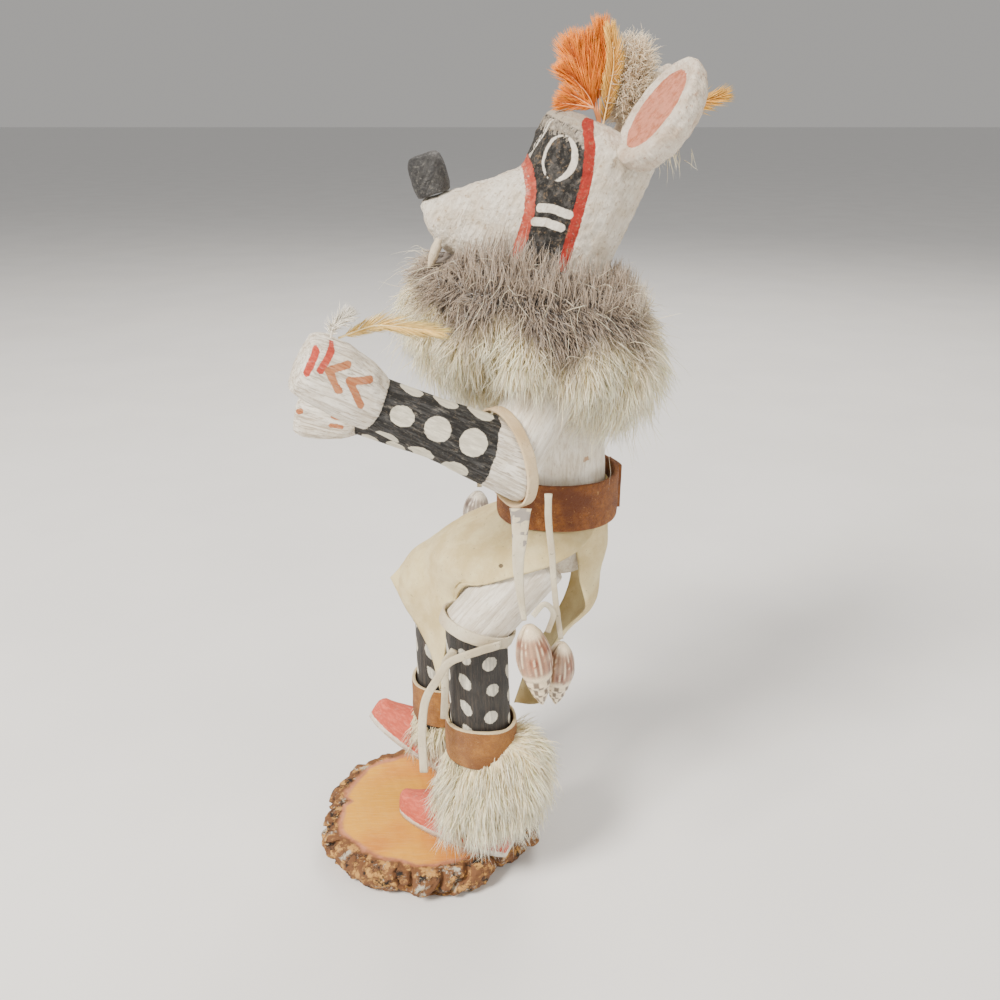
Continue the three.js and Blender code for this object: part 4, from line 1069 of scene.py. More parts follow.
# Each profile's rows are the place along an axis and the share of the radius there.
NOSE_PROFILE = np.array([
    [-4.8, 0.6], [-4.8, 0.84], [-4.5, 0.9], [-3, 0.95], [-0.5, 1], [2, 1], [4.2, 0.96], [5.8, 0.86],
    [6.6, 0.74], [6.95, 0.58], [7.05, 0.3], [7.05, 0.1]])
EAR_PROFILE = np.array([
    [-0.75, 0.1], [-0.75, 0.35], [-0.75, 0.6], [-0.7, 0.76], [-0.45, 0.8], [-0.12, 0.84], [0, 0.88],
    [-0.1, 0.93], [-0.45, 0.97], [-1.2, 1.0], [-2.8, 1.0], [-4.4, 0.98], [-6.2, 0.93], [-7.6, 0.86],
    [-9.0, 0.72], [-10.0, 0.52], [-10.6, 0.25]])


def along_profile(profile, count):
    """Both columns of a profile at steps spread evenly over its rows."""
    steps = np.linspace(0, len(profile) - 1, count)
    return [np.interp(steps, np.arange(len(profile)), profile[:, k]) for k in (0, 1)]


def head(materials):
    """The mask with its snout, the nose knob and the fangs."""
    shape = mask_shape()
    place = mask_places(shape.points)
    sand = 0.3 * fbm(place, 1.7, 2, 90) + 0.16 * fbm(place, 6, 3, 91)
    sand -= 0.45 * smooth(0.42, 0.8, fbm(place * vec(1, 1, 0.1), 1.8, 3, 92)) * smooth(8, -4, place[:, 0])
    shape.relief(sand)
    place = mask_places(shape.points)
    marks = face_marks(place)
    piece("painted_mask", shape, materials["mask"], ["head_mask"],
          {"grain_at": place, **marks})

    lean = math.radians(40.5)
    axis = MASK_FORWARD * math.sin(lean) + MASK_UP * math.cos(lean)
    front = MASK_FORWARD * math.cos(lean) - MASK_UP * math.sin(lean)
    knob = loft([
        ring(on_mask(42.6, 0, -30.2) + axis * a, MASK_ACROSS, front, turn_angles(64), 6.0 * k, 5.7 * k, 3.0)
        for a, k in zip(*along_profile(NOSE_PROFILE, 46))])
    knob.relief(0.22 * fbm(knob.points, 4, 4, 93))
    piece("nose", knob, materials["nose"], ["nose_knob"],
          {"grain_at": mask_places(knob.points)})

    for limbs in SIDES:
        root, tip = on_mask(33, limbs.side * 9.9, -44.5), on_mask(32.5, limbs.side * 11.2, -53.2)
        run = unit(tip - root)
        across, upward = cross_axes(run)
        along = np.linspace(-0.3, 9.0, 30)
        radius = np.interp(along, [-0.3, 2.6, 5.4, 7.6, 8.5, 9.0], [1.0, 1.5, 1.45, 0.95, 0.55, 0.12])
        fang = loft([
            ring(root + run * a, across, upward, turn_angles(28), r, r) for a, r in zip(along, radius)])
        fang.relief(0.06 * fbm(fang.points, 1.5, 2, 94))
        piece(f"{limbs.name}_peg_fang", fang, materials["ivory"], [f"{limbs.name}_fang"])


def ears(materials):
    """Round ears cut thick: a dished flat face inside a rim, over a rounded back."""
    for limbs in SIDES:
        side = limbs.side
        out, tilt = math.radians(EAR.out), math.radians(EAR.tilt)
        normal = vec(-math.cos(tilt) * math.cos(out), side * math.cos(tilt) * math.sin(out), math.sin(tilt))
        tall = unit(vec(0, 0, 1) - normal * normal[2])
        wide = np.cross(normal, tall)
        centre = vec(EAR.face[0], side * EAR.face[1], EAR.face[2])
        angles = turn_angles(90)
        shape = loft([
            ring(centre + normal * d - tall * 0.1 * abs(d), tall, wide, angles, EAR.tall * k, EAR.wide * k)
            for d, k in zip(*along_profile(EAR_PROFILE, 64))])
        place = local_axes(shape.points, centre, tall, wide, normal)
        rim = smooth(-0.6, -2.0, place[:, 2])
        shape.relief((0.12 + 0.2 * rim) * fbm(place, 2.2, 3, 95) + 0.1 * fbm(place, 0.9, 2, 96) * rim)
        pink = (1 - np.hypot(place[:, 0] / (EAR.tall * 0.74), place[:, 1] / (EAR.wide * 0.70))) * 10
        pink = np.where(place[:, 2] > -1.6, pink, -9)
        piece(f"{limbs.name}_carved_ear", shape, materials["ear"], [f"{limbs.name}_ear"],
              {"grain_at": place, "paint_pink": pink})


# ---------------------------------------------------------------- fur and feathers


def strands(roots, direction, bend, length, width, steps, rng, curl=0.0):
    """Hairs: each runs from its root along length times (t direction + t squared bend), waves sideways by the
    curl, and is a three-sided spike that narrows to a point. Gives the shape, and t and the hair's number at
    each point."""
    count = len(roots)
    t = np.linspace(0, 1, steps + 1)
    middle = roots[:, None] + length[:, None, None] * (
        t[None, :, None] * direction[:, None] + (t**2)[None, :, None] * bend[:, None])
    side = unit(np.cross(direction, rng.normal(size=(count, 3))))
    wave = curl * np.sin(t[None] * 5 + rng.uniform(0, 6.3, (count, 1))) * t[None] * length[:, None]
    middle = middle + wave[..., None] * side[:, None]
    tangent = unit(np.gradient(middle, axis=1))
    u = unit(np.cross(tangent, side[:, None] + 0.01))
    v = np.cross(tangent, u)
    radius = width[:, None] / 2 * (1 - t[None, :-1] ** 2 * 0.75)
    corner = 2 * np.pi * np.arange(3) / 3
    rings = (middle[:, :-1, None] + radius[..., None, None] * (
        np.cos(corner)[:, None] * u[:, :-1, None] + np.sin(corner)[:, None] * v[:, :-1, None]))
    per = 3 * steps + 1
    points = np.concatenate([rings.reshape(count, -1, 3), middle[:, -1:]], axis=1).reshape(-1, 3)
    base = (np.arange(count) * per)[:, None, None]
    k = np.arange(3)
    after = (k + 1) % 3
    level = 3 * np.arange(steps - 1)[:, None]
    quads = np.stack([level + k, level + after, level + 3 + after, level + 3 + k], axis=-1)
    quads = quads.reshape(1, -1, 4) + base
    top = 3 * (steps - 1)
    tips = np.stack([top + k, top + after, np.full(3, 3 * steps)], axis=-1)
    triangles = np.concatenate([tips, [[2, 1, 0]]])[None] + base
    shape = Shape(points, quads.reshape(-1, 4), triangles.reshape(-1, 3))
    share = np.concatenate([np.repeat(t[:-1], 3), [1.0]])
    return shape, np.tile(share, count), np.repeat(np.arange(count), per)


def clumped(roots, direction, bend, length, clumps, pull, rng):
    """Draws the hairs of a clump together: each hair's direction turns so that its tip nears the tip of the
    clump whose root is the nearest."""
    chosen = rng.choice(len(roots), clumps, replace=False)
    nearest = np.empty(len(roots), int)
    for start in range(0, len(roots), 2000):
        block = roots[start : start + 2000]
        nearest[start : start + 2000] = np.argmin(
            ((block[:, None] - roots[chosen][None]) ** 2).sum(-1), axis=1)
    leader = chosen[nearest]
    tip = roots[leader] + length[leader, None] * (direction[leader] + bend[leader])
    own = roots + length[:, None] * (direction + bend)
    return bend + pull * (tip - own) / length[:, None]


def paint_strands(share, number, root_colour, tip_colour, spread, rng):
    """A colour at each point of each hair: from the root's to the tip's, and lighter or darker from hair to
    hair by the spread."""
    count = number.max() + 1
    tone = 1 + spread * rng.normal(size=(count, 1))[number]
    root, tip = (np.broadcast_to(np.asarray(c, float), (count, 3))[number] for c in (root_colour, tip_colour))
    colour = np.clip(mix(root, tip, smooth(0, 1, share)[:, None]) * tone, 0.005, 0.95)
    return opaque(colour)


def opaque(colour):
    """Rows of colour with their alpha."""
    return np.hstack([colour, np.ones((len(colour), 1))])


UPRIGHT = vec(0, 0, 1)
RUFF = SimpleNamespace(
    centre=vec(38.5, 0, 204), reach=vec(41, 42, 24.5), locks=13, depth=0.09, slope=-0.19, swing=True)
ANKLETS = {
    "left": SimpleNamespace(
        centre=vec(25, -20, 39.8), reach=vec(20.5, 17, 20.5), locks=9, depth=0.12, slope=0.34, swing=False),
    "right": SimpleNamespace(
        centre=vec(8, 19, 38.8), reach=vec(17, 15, 12), locks=8, depth=0.12, slope=0.3, swing=False),
}
CREST_DOWN = SimpleNamespace(
    centre=vec(66, 0, 274.5), reach=vec(6.4, 6.2, 13), locks=7, depth=0.16, slope=0.1, swing=False)
CUFFS = {"left": (53.0, 67.5), "right": (44.5, 60.0)}  # lowest and highest level of each cuff
CUFF_R = LEG_R + 2 * GAP


def fur_point(fur, angle, latitude, scale=1.0):
    """A point on a body of fur: an ellipsoid whose radius is the sine of the latitude to the power 0.8,
    parted into locks that grow deeper towards its lower edge, and sloped along X."""
    low, waist = (1 - np.cos(latitude)) / 2, np.sin(latitude)
    r = scale * waist**0.8 * (1 + fur.depth * low * np.sin(fur.locks * angle + 2.6 * latitude) * waist)
    forth = fur.reach[0] * r * np.cos(angle)
    drop = (4 * np.maximum(0, np.cos(angle)) ** 2 - 2.5 * np.sin(3 * angle)) * low if fur.swing else 0
    side = fur.reach[1] * r * np.sin(angle)
    rise = fur.reach[2] * scale * np.cos(latitude) - drop + fur.slope * forth
    return fur.centre + np.stack([forth, side, rise], axis=-1)


def hide(name, fur, material, nodes, colour_at, seed, floor=None):
    """The dense body under the hair: the fur's form a little shrunk, with matted locks as relief."""
    angle, latitude = np.meshgrid(turn_angles(120), np.linspace(0.04, 0.96, 60) * np.pi)
    shape = loft(fur_point(fur, angle, latitude, 0.93))
    q = shape.points * vec(1, 1, 0.22)
    shape.relief(1.0 * fbm(q, 3.4, 3, seed) + 0.4 * fbm(q, 1.2, 2, seed + 5))
    if floor:
        shape.points[:, 2] = np.maximum(shape.points[:, 2], floor)
    tone = 0.92 + 0.2 * fbm(q, 2, 3, seed + 3)
    colour = np.clip(colour_at(shape.points) * tone[:, None], 0.01, 0.9)
    piece(name, shape, material, nodes, {"strand_colour": opaque(colour)})


def rooted(fur, count, rng, low, high):
    """Roots spread evenly over a body of fur between two shares of the way down it, with the normal and the
    downward way along the surface at each."""
    top, under = math.cos(low * math.pi), math.cos(high * math.pi)
    latitude = np.arccos(rng.uniform(under, top, count))
    angle = rng.uniform(0, 2 * np.pi, count)
    step = 0.01
    roots = fur_point(fur, angle, latitude, 0.94)
    down = unit(fur_point(fur, angle, latitude + step) - fur_point(fur, angle, latitude - step))
    round_ = fur_point(fur, angle + step, latitude) - fur_point(fur, angle - step, latitude)
    normal = unit(np.cross(round_, down))
    normal *= np.sign(np.einsum("ij,ij->i", normal, roots - fur.centre))[:, None]
    return roots, normal, down


def from_line(points, start, end):
    """The distance of each point from a line between two points."""
    run = end - start
    t = np.clip((points - start) @ run / (run @ run), 0, 1)
    return np.linalg.norm(points - start - t[:, None] * run, axis=1)


HAIR_CLEAR = 0.6  # how near the wood a hair may come
# The snout as hair has to clear it: half its width, and its top, at places forward on the mask.
SNOUT_HALF = ((6, 15, 25, 35), (15.5, 13.6, 10.8, 8.8))
SNOUT_TOP = ((6, 15, 19, 25, 31, 35), (-9, -12.4, -16.5, -22.5, -27.5, -30.3))
FANG_CLEAR = 6.5  # how far hair keeps from the place beside each fang
TRUNK = SimpleNamespace(x=44.5, a=16.8, b=19, low=120, high=200)


def inside_body(points):
    """True where a point lies in the mask, the torso or a limb, or nearly so."""
    forward, across, up = mask_places(points).T
    case = (np.hypot(forward, across) < MASK_R + HAIR_CLEAR) & (np.abs(up + 23) < 27)
    half = np.interp(forward, *SNOUT_HALF) + HAIR_CLEAR
    top = np.interp(forward, *SNOUT_TOP)
    muzzle = (forward > 0) & (forward < 36) & (np.abs(across) < half) & (up < top) & (up > -49.5)
    trunk = np.hypot((points[:, 0] - TRUNK.x) / TRUNK.a, points[:, 1] / TRUNK.b) < 1
    trunk &= (points[:, 2] < TRUNK.high) & (points[:, 2] > TRUNK.low)
    inside = case | muzzle | trunk
    for limbs in SIDES:
        fang = on_mask(33, limbs.side * 10.5, -48)
        inside |= np.linalg.norm(points - fang - vec(0, limbs.side * 4, 2), axis=1) < FANG_CLEAR
        for start, end, radius in (
                (limbs.shoulder, limbs.elbow, ARM_R), (limbs.elbow, limbs.wrist, ARM_R - 0.5),
                (limbs.ankle * vec(1, 1, 0), limbs.knee, LEG_R)):
            inside |= from_line(points, start, end) < radius + HAIR_CLEAR
    return inside


def coat(name, roots, way, length, width, root_colour, tip_colour, material, nodes, seed, sag, pull,
         clumps, steps=3, curl=0.1, floor=None):
    """One layer of hair as a piece: hairs that leave their roots along a way, sag under their weight and draw
    together in clumps. Those whose tips would end inside the doll are left out."""
    rng = np.random.default_rng(seed)
    look = bpy.context.scene.doll_look
    length, width = length * look.fur_length, width * look.hair_width
    bend = np.tile(-sag * UPRIGHT, (len(roots), 1)) + rng.normal(scale=0.12, size=roots.shape)
    bend = clumped(roots, way, bend, length, min(clumps, len(roots)), pull, rng)
    middle = roots + length[:, None] * (0.5 * way + 0.25 * bend)
    tip = roots + length[:, None] * (way + bend)
    keep = ~(inside_body(roots) | inside_body(middle) | inside_body(tip))
    colours = [np.broadcast_to(np.asarray(c, float), roots.shape)[keep] for c in (root_colour, tip_colour)]
    shape, share, number = strands(
        roots[keep], way[keep], bend[keep], length[keep], width[keep], steps, rng, curl)
    if floor:
        shape.points[:, 2] = np.maximum(shape.points[:, 2], floor + 0.25 * rng.random(len(shape.points)))
    colour = paint_strands(share, number, *colours, 0.1, rng)
    piece(name, shape, material, nodes, {"strand_colour": colour})


def ruff_tone(points):
    """How grey the ruff is, from 1 for the taupe upper half to 0 for the cream below and the lobe behind."""
    line = 207 + 3.5 * np.sin(points[:, 0] * 0.22 + 1) - 0.2 * (points[:, 0] - 38.5)
    grey = smooth(-4, 4, points[:, 2] - line - 2.5 * noise(points, 7, 120))
    return grey * smooth(76, 66, points[:, 0] - 0.12 * (points[:, 2] - 204))


TAUPE = vec(0.125, 0.09, 0.065)
TAUPE_TIP = vec(0.43, 0.33, 0.235)
CREAM_FUR = vec(0.95, 0.81, 0.49)
CREAM_TIP = vec(0.95, 0.90, 0.70)


def ruff_colour(points):
    """The colour of the ruff's underfur at each point."""
    return mix(CREAM_FUR, TAUPE, ruff_tone(points)[:, None])


def ruff(materials):
    """The fur collar: a matted hide, a collar that stands up round the mask, a short grey coat, a longer
    cream coat below and a few thin pale guard hairs that fall over them. Each coat has its first and last
    share of the way down, its count, length, sag and pull, and how far its hairs lift."""
    fur, slot, nodes = materials["fur"], "grey_fur", ["neck_ruff"]
    hide("ruff_hide", RUFF, fur, nodes, ruff_colour, 100)
    rng = np.random.default_rng(101)
    for name, low, high, count, long, sag, pull, lift in (
            ("ruff_collar_coat", 0.1, 0.36, 3600, 8.5, -0.1, 0.4, 1.3),
            ("ruff_upper_coat", 0.08, 0.5, 8000, 7.5, 0.2, 0.35, 0),
            ("ruff_lower_coat", 0.48, 0.95, 8900, 9.5, 0.35, 0.5, 0)):
        roots, normal, down = rooted(RUFF, count, rng, low, high)
        way = 0.42 * normal + (0.75 - lift) * down + rng.normal(scale=0.36, size=normal.shape)
        way = unit((way + lift * 0.4 * UPRIGHT) * vec(1, 1, 0.9))
        front_share = mix(0.55, 1.0, smooth(8, 26, roots[:, 0])) if lift else 1
        length = long * rng.uniform(0.6, 1.3, count) * front_share
        grey = ruff_tone(roots)[:, None]
        root, tip = mix(CREAM_FUR, TAUPE, grey), mix(CREAM_TIP, TAUPE_TIP, grey)
        coat(name, roots, way, length, rng.uniform(0.2, 0.4, count), root, tip, fur, nodes, 102,
             sag=sag, pull=pull, clumps=520)
    roots, normal, down = rooted(RUFF, 700, rng, 0.15, 0.8)
    way = unit(0.7 * normal + 0.5 * down + rng.normal(scale=0.5, size=normal.shape))
    length = rng.uniform(8, 17, 700)
    coat("ruff_guard_hairs", roots, way, length, rng.uniform(0.13, 0.22, 700), vec(0.80, 0.66, 0.40),
         CREAM_TIP, fur, nodes, 103, steps=5, sag=0.45, pull=0.1, clumps=100, curl=0.09)


UNDER_CUFF = (0.2, 9)  # how far below the cuff's lower edge its hairs are rooted
ROOT_OUT = 1.6  # how far off the shin those roots stand


def under_cuff(limbs, count, rng):
    """Roots round the shin just under its cuff, with the outward normal and the downward way at each."""
    low = CUFFS[limbs.name][0]
    run = unit(limbs.knee - limbs.ankle)
    across, forth = cross_axes(run)
    angle = rng.uniform(0, 2 * np.pi, count)[:, None]
    normal = np.cos(angle) * across + np.sin(angle) * forth
    level = low - rng.uniform(*UNDER_CUFF, count)
    middle = limbs.ankle + ((level - limbs.ankle[2]) / run[2])[:, None] * run
    return middle + (LEG_R + ROOT_OUT) * normal, normal, np.tile(-run, (count, 1))


def anklets(materials):
    """The fur round each ankle: long cream hair that falls from under the cuff over the foot to the base."""
    for limbs in SIDES:
        fur = ANKLETS[limbs.name]
        nodes, floor = [f"{limbs.name}_fur_anklet"], BASE_H + 2 * GAP
        seed = 110 if limbs is LEFT else 115
        hide(f"{limbs.name}_anklet_hide", fur, materials["fur"], nodes, lambda p: p * 0 + CREAM_FUR,
             seed, floor)
        rng = np.random.default_rng(seed)
        count = 6900 if limbs is LEFT else 4700
        upper = count // 4
        roots, normal, down = (
            np.concatenate(pair) for pair in zip(
                rooted(fur, count - upper, rng, 0.04, 0.93), under_cuff(limbs, upper, rng)))
        way = unit(0.3 * normal + 0.85 * down + rng.normal(scale=0.3, size=normal.shape))
        length = rng.uniform(7, 12.5, count) * (1 if limbs is LEFT else 0.75)
        coat(f"{limbs.name}_anklet_coat", roots, way, length, rng.uniform(0.2, 0.4, count), CREAM_FUR,
             CREAM_TIP, materials["fur"], nodes, seed + 1, sag=0.4, pull=0.5, clumps=330, floor=floor)


# ---------------------------------------------------------------- feathers

ORANGE = vec(0.52, 0.10, 0.004)
ORANGE_TIP = vec(0.86, 0.27, 0.01)
GOLD = vec(0.48, 0.20, 0.02)
GOLD_TIP = vec(0.86, 0.52, 0.11)
TAN = vec(0.76, 0.50, 0.14)
TAN_TIP = vec(0.92, 0.70, 0.28)
PLUME = vec(0.86, 0.82, 0.72)


QUILL_R = 0.32  # radius of a quill at its base


def feather(route, wide, count, root_colour, tip_colour, seed, peak, sweep, stray=0.12, ragged=0.2,
            dusk=1.0, bare=0.06):
    """A feather as loose barbs: they leave both sides of a quill at an angle that closes towards the tip, as
    long as the vane is wide there, and a thin quill runs through them. Peak is the share of the way at which
    the vane is widest, sweep the barbs' angle, stray and ragged how unlike they are, dusk how dark they start
    at the base, and bare the share of the quill without barbs. Gives the shape and its colours."""
    rng = np.random.default_rng(seed)
    centres, tangent, outward, across = frames(route, 60)
    t = np.sort(rng.uniform(bare, 1, count))
    side = np.where(np.arange(count) % 2, 1.0, -1.0)

    def at_share(rows):
        """Rows given along the quill, at the place of each barb."""
        return np.stack([np.interp(t, np.linspace(0, 1, len(rows)), rows[:, a]) for a in range(3)], axis=1)

    reach = wide / 2 * np.sin(np.pi * np.minimum(1, t ** (math.log(0.5) / math.log(peak)))) ** 0.7
    angle = np.radians(mix(sweep + 14, 12, t))[:, None]
    way = np.cos(angle) * at_share(tangent) + np.sin(angle) * side[:, None] * at_share(across)
    way = unit(way + rng.normal(scale=stray, size=way.shape) * vec(1, 0.8, 1))
    length = (reach / np.sin(angle[:, 0]) + 1.2) * rng.uniform(1 - ragged, 1 + 0.4 * ragged, count)
    span = np.linalg.norm(np.diff(centres, axis=0), axis=1).sum()
    length = np.minimum(length, np.minimum(wide * 1.1 + 2, (1.05 - t) * span + 1.2))
    bend = 0.22 * at_share(tangent) + rng.normal(scale=0.05, size=way.shape)
    width = rng.uniform(0.24, 0.4, count)
    barbs, share, number = strands(at_share(centres), unit(way), bend, length, width, 3, rng)
    deep = mix(dusk, 1.0, smooth(0.0, 0.5, t))[:, None]
    colour = paint_strands(share, number, root_colour * deep, tip_colour * deep, 0.12, rng)
    stem = loft([
        ring(c, x, o, turn_angles(6), r, r)
        for c, x, o, r in zip(centres, across, outward, np.linspace(QUILL_R, 0.12, 60))])
    pale = np.tile(np.append(mix(np.asarray(tip_colour), PLUME, 0.2), 1.0), (len(stem.points), 1))
    return join([barbs, stem]), np.vstack([colour, pale])


def feather_piece(name, parts, material, nodes):
    """Several feathers as one piece."""
    return piece(name, join([shape for shape, _ in parts]), material, nodes,
                 {"strand_colour": np.vstack([colour for _, colour in parts])})


def feathers(materials):
    """The crest of orange and golden feathers with its grey down, the golden one behind, and those in the
    hand."""
    vane = materials["vane"]
    base = (57.0, -4.2, 262.4)
    fan = [
        [base, (53.4, -5, 271), (48.6, -5.6, 276), (45.4, -6.4, 278.4)],
        [base, (53.6, -4.6, 273), (49.6, -4.8, 280), (47.4, -5.0, 285.0)],
        [base, (54.8, -4.2, 274), (53.0, -4.2, 281), (52.0, -4.2, 286.2)],
        [base, (56.4, -3.8, 275), (56.4, -3.6, 283), (56.2, -3.4, 289.2)]]
    parts = [feather(route, wide, 300, ORANGE, ORANGE_TIP, 130 + k, 0.62, 22, stray=0.1, dusk=0.35, bare=0.3)
             for k, (route, wide) in enumerate(zip(fan, (5.4, 6.6, 6.6, 5.6)))]
    gold = [(57.6, -4.8, 263.0), (59.2, -5.2, 273), (60.0, -5.4, 280), (58.8, -5.6, 288.4)]
    parts.append(feather(gold, 4.6, 300, GOLD, GOLD_TIP, 135, 0.45, 30, stray=0.05, ragged=0.1, dusk=0.5))
    feather_piece("crest_fan", parts, vane, ["crest_fan_feather"])
    side = [[(54.5, -7.4, 268.2), (50, -7.6, 269.0), (44.6, -7.8, 269.6)],
            [(54.5, -7.4, 268.2), (50.4, -7.6, 270.6), (46.0, -7.8, 272.6)]]
    parts = [feather(route, 3.6, 130, ORANGE * 0.9, ORANGE_TIP, 137 + k, 0.6, 24)
             for k, route in enumerate(side)]
    feather_piece("crest_side_plume", parts, vane, ["crest_side_feather"])
    rear = [(72.5, 1, 268), (83, 0, 268.8), (93, -1.2, 271.8)]
    feather_piece("golden_rear_plume", [feather(rear, 4.2, 260, GOLD, GOLD_TIP, 140, 0.55, 22)], vane,
                  ["rear_feather"])
    hand = [(-15.4, -52.4, 211.4), (-6, -51, 214.4), (0.6, -50.4, 214), (11.8, -49.6, 212.3)]
    feather_piece("held_feather", [feather(hand, 4.6, 280, TAN, TAN_TIP, 142, 0.45, 18, stray=0.05)], vane,
                  ["hand_feather"])
    plume = [(-17.2, -53.4, 211.6), (-16.4, -53.6, 214.4), (-11.6, -53.8, 218.2)]
    feather_piece("held_plume", [feather(plume, 3.4, 150, PLUME * 0.9, PLUME, 144, 0.5, 40, stray=0.3)], vane,
                  ["hand_plume"])

    rng = np.random.default_rng(146)
    heart = SimpleNamespace(**{**vars(CREST_DOWN), "reach": CREST_DOWN.reach * vec(0.6, 0.6, 0.8)})
    hide("crest_down_heart", heart, materials["fur"], ["crest_down"],
         lambda p: p * 0 + vec(0.62, 0.46, 0.27), 147)
    roots, normal, down = rooted(CREST_DOWN, 2600, rng, 0.03, 0.9)
    roots = mix(CREST_DOWN.centre, roots, rng.uniform(0.45, 1.0, 2600)[:, None])
    way = unit(0.8 * normal - 0.35 * down + rng.normal(scale=0.5, size=normal.shape))
    coat("crest_down_fluff", roots, way, rng.uniform(3, 7, 2600), rng.uniform(0.16, 0.3, 2600),
         vec(0.62, 0.44, 0.24), vec(0.90, 0.79, 0.58), materials["fur"], ["crest_down"], 148,
         sag=0.1, pull=0.25, clumps=160, curl=0.22)
    wisps(materials)


def wisps(materials):
    """A few loose hairs caught under each ear."""
    rng = np.random.default_rng(150)
    for limbs in SIDES:
        middle = vec(74, limbs.side * 19, 257)
        roots = middle + rng.normal(size=(30, 3)) * vec(3.2, 2.0, 1.2)
        way = unit(vec(0.3, 0.4 * limbs.side, -0.8) + rng.normal(scale=0.3, size=roots.shape))
        coat(f"{limbs.name}_ear_wisps", roots, way, rng.uniform(3, 6, 30), rng.uniform(0.14, 0.22, 30),
             CREAM_FUR, CREAM_TIP, materials["fur"], [f"{limbs.name}_ear"], 151, sag=0.3,
             pull=0.3, clumps=8, curl=0.08)


# ---------------------------------------------------------------- leather

FLAP_CLEAR = LEATHER + GAP
BELT_CLEAR = 2 * FLAP_CLEAR + 2 * GAP
TUCK_TOP, TUCK_LOW = BELT.high - 5, BELT.low - GAP
TUCK_ROWS = 8  # rows of a flap's grid that lie behind the belt
# The hole is not cut through: the front flap gets a dark dot there, painted shade for the hole.
HOLE = (27.9, -22.5, 129.1)  # the small hole in the front flap
FRONT_CUT, FRONT_AREA = (0.07, 0.11), 0.0043  # width and length in metres, and area in square metres
BACK_CUT, BACK_AREA = (0.05, 0.085), 0.0031


def waist_point(angle, out, z):
    """Points of the waist's rounded oval at angles in degrees from the front, standing off the body."""
    a, b = section(np.radians(angle), WAIST.a + out, WAIST.b + out, 2.2)
    return np.stack([WAIST.x - a, b, np.broadcast_to(z, a.shape)], axis=-1)


def clear_of_thigh(points, limbs):
    """Points pushed square out of a thigh, so that leather lies over it."""
    reach = np.linalg.norm(limbs.hip - limbs.knee)
    along = np.clip((points - limbs.knee) @ limbs.thigh_run, 0, reach)
    off = points - limbs.knee - along[..., None] * limbs.thigh_run
    away = np.linalg.norm(off, axis=-1, keepdims=True)
    room = LEG_R + LEATHER / 2 + 3.4 * GAP
    return points + unit(off) * np.maximum(room - away, 0)


def clear_of_knee(points, limbs):
    """Points pushed out of an ellipsoid about a knee, so that leather lies over the band there."""
    slant = math.acos(limbs.knee_bend[2])
    long_axis = unit(UPRIGHT - limbs.knee_bend * limbs.knee_bend[2])
    short_axis = np.cross(limbs.knee_bend, long_axis)
    room = LEG_R + BAND_THICK + LEATHER / 2 + 6 * GAP
    long = room + LEG_R * (1 / math.cos(slant) - 1) + KNEE_BAND / 2 * math.tan(slant)
    off = points - limbs.knee
    share = np.sqrt(((off @ long_axis) / long) ** 2 + ((off @ short_axis) / room) ** 2
                    + ((off @ limbs.knee_bend) / (1.2 * room)) ** 2)[..., None]
    return np.where(share < 1, limbs.knee + off / np.maximum(share, 0.05), points)


def flap_grid(angles, out, far, near, hem, bow, drape, columns=72, rows=84):
    """A leather flap as a grid: a strip tucked behind the belt, then a sheet stretched between the waistline,
    two side edges and the hem, whose bow lifts its middle outwards by 16 u (1 - u) v (1 - v). Drape lays it
    over the thighs and knees."""
    u, v = np.linspace(0, 1, columns), np.linspace(0, 1, rows)
    turn = mix(angles[0], angles[1], u)
    waist = waist_point(turn, out, TUCK_LOW)
    low, far_side, near_side = spline(hem, u), spline(far, v), spline(near, v)
    a, b = u[None, :, None], v[:, None, None]
    grid = (1 - b) * waist + b * low + (1 - a) * far_side[:, None] + a * near_side[:, None]
    grid = grid - (1 - a) * (1 - b) * waist[0] - a * (1 - b) * waist[-1]
    grid = grid - (1 - a) * b * low[0] - a * b * low[-1]
    grid = grid + vec(*bow) * 16 * a * (1 - a) * b * (1 - b)
    if drape:
        for limbs in SIDES:
            grid = clear_of_knee(clear_of_thigh(grid, limbs), limbs)
    tuck = np.stack([waist_point(turn, out, z) for z in np.linspace(TUCK_TOP, TUCK_LOW, TUCK_ROWS + 1)[:-1]])
    return np.concatenate([tuck, grid])


FRONT_ANGLES, BACK_ANGLES = (82, -132), (-98, -262)
FRONT_OUT, BACK_OUT = 2 * GAP + LEATHER + GAP + LEATHER / 2, 2 * GAP + LEATHER / 2


def flap_edge(angle, out, *points):
    """An edge that starts at the waist behind the belt and runs on through points."""
    return [waist_point(np.array(angle), out, TUCK_LOW), *points]


def eased(grid, times):
    """The grid with creases softened below the belt: each inner point is drawn half way to the mean of its
    four neighbours, and each point of the side edges goes to the middle of the two next to it."""
    first = TUCK_ROWS + 2
    for _ in range(times):
        inner = (grid[:-2, 1:-1] + grid[2:, 1:-1] + grid[1:-1, :-2] + grid[1:-1, 2:]) / 4
        grid = grid.copy()
        grid[first:-1, 1:-1] = mix(grid[first:-1, 1:-1], inner[first - 1:], 0.5)
        grid[first:-1, [0, -1]] = (grid[first - 1:-2, [0, -1]] + grid[first + 1:, [0, -1]]) / 2
    return grid


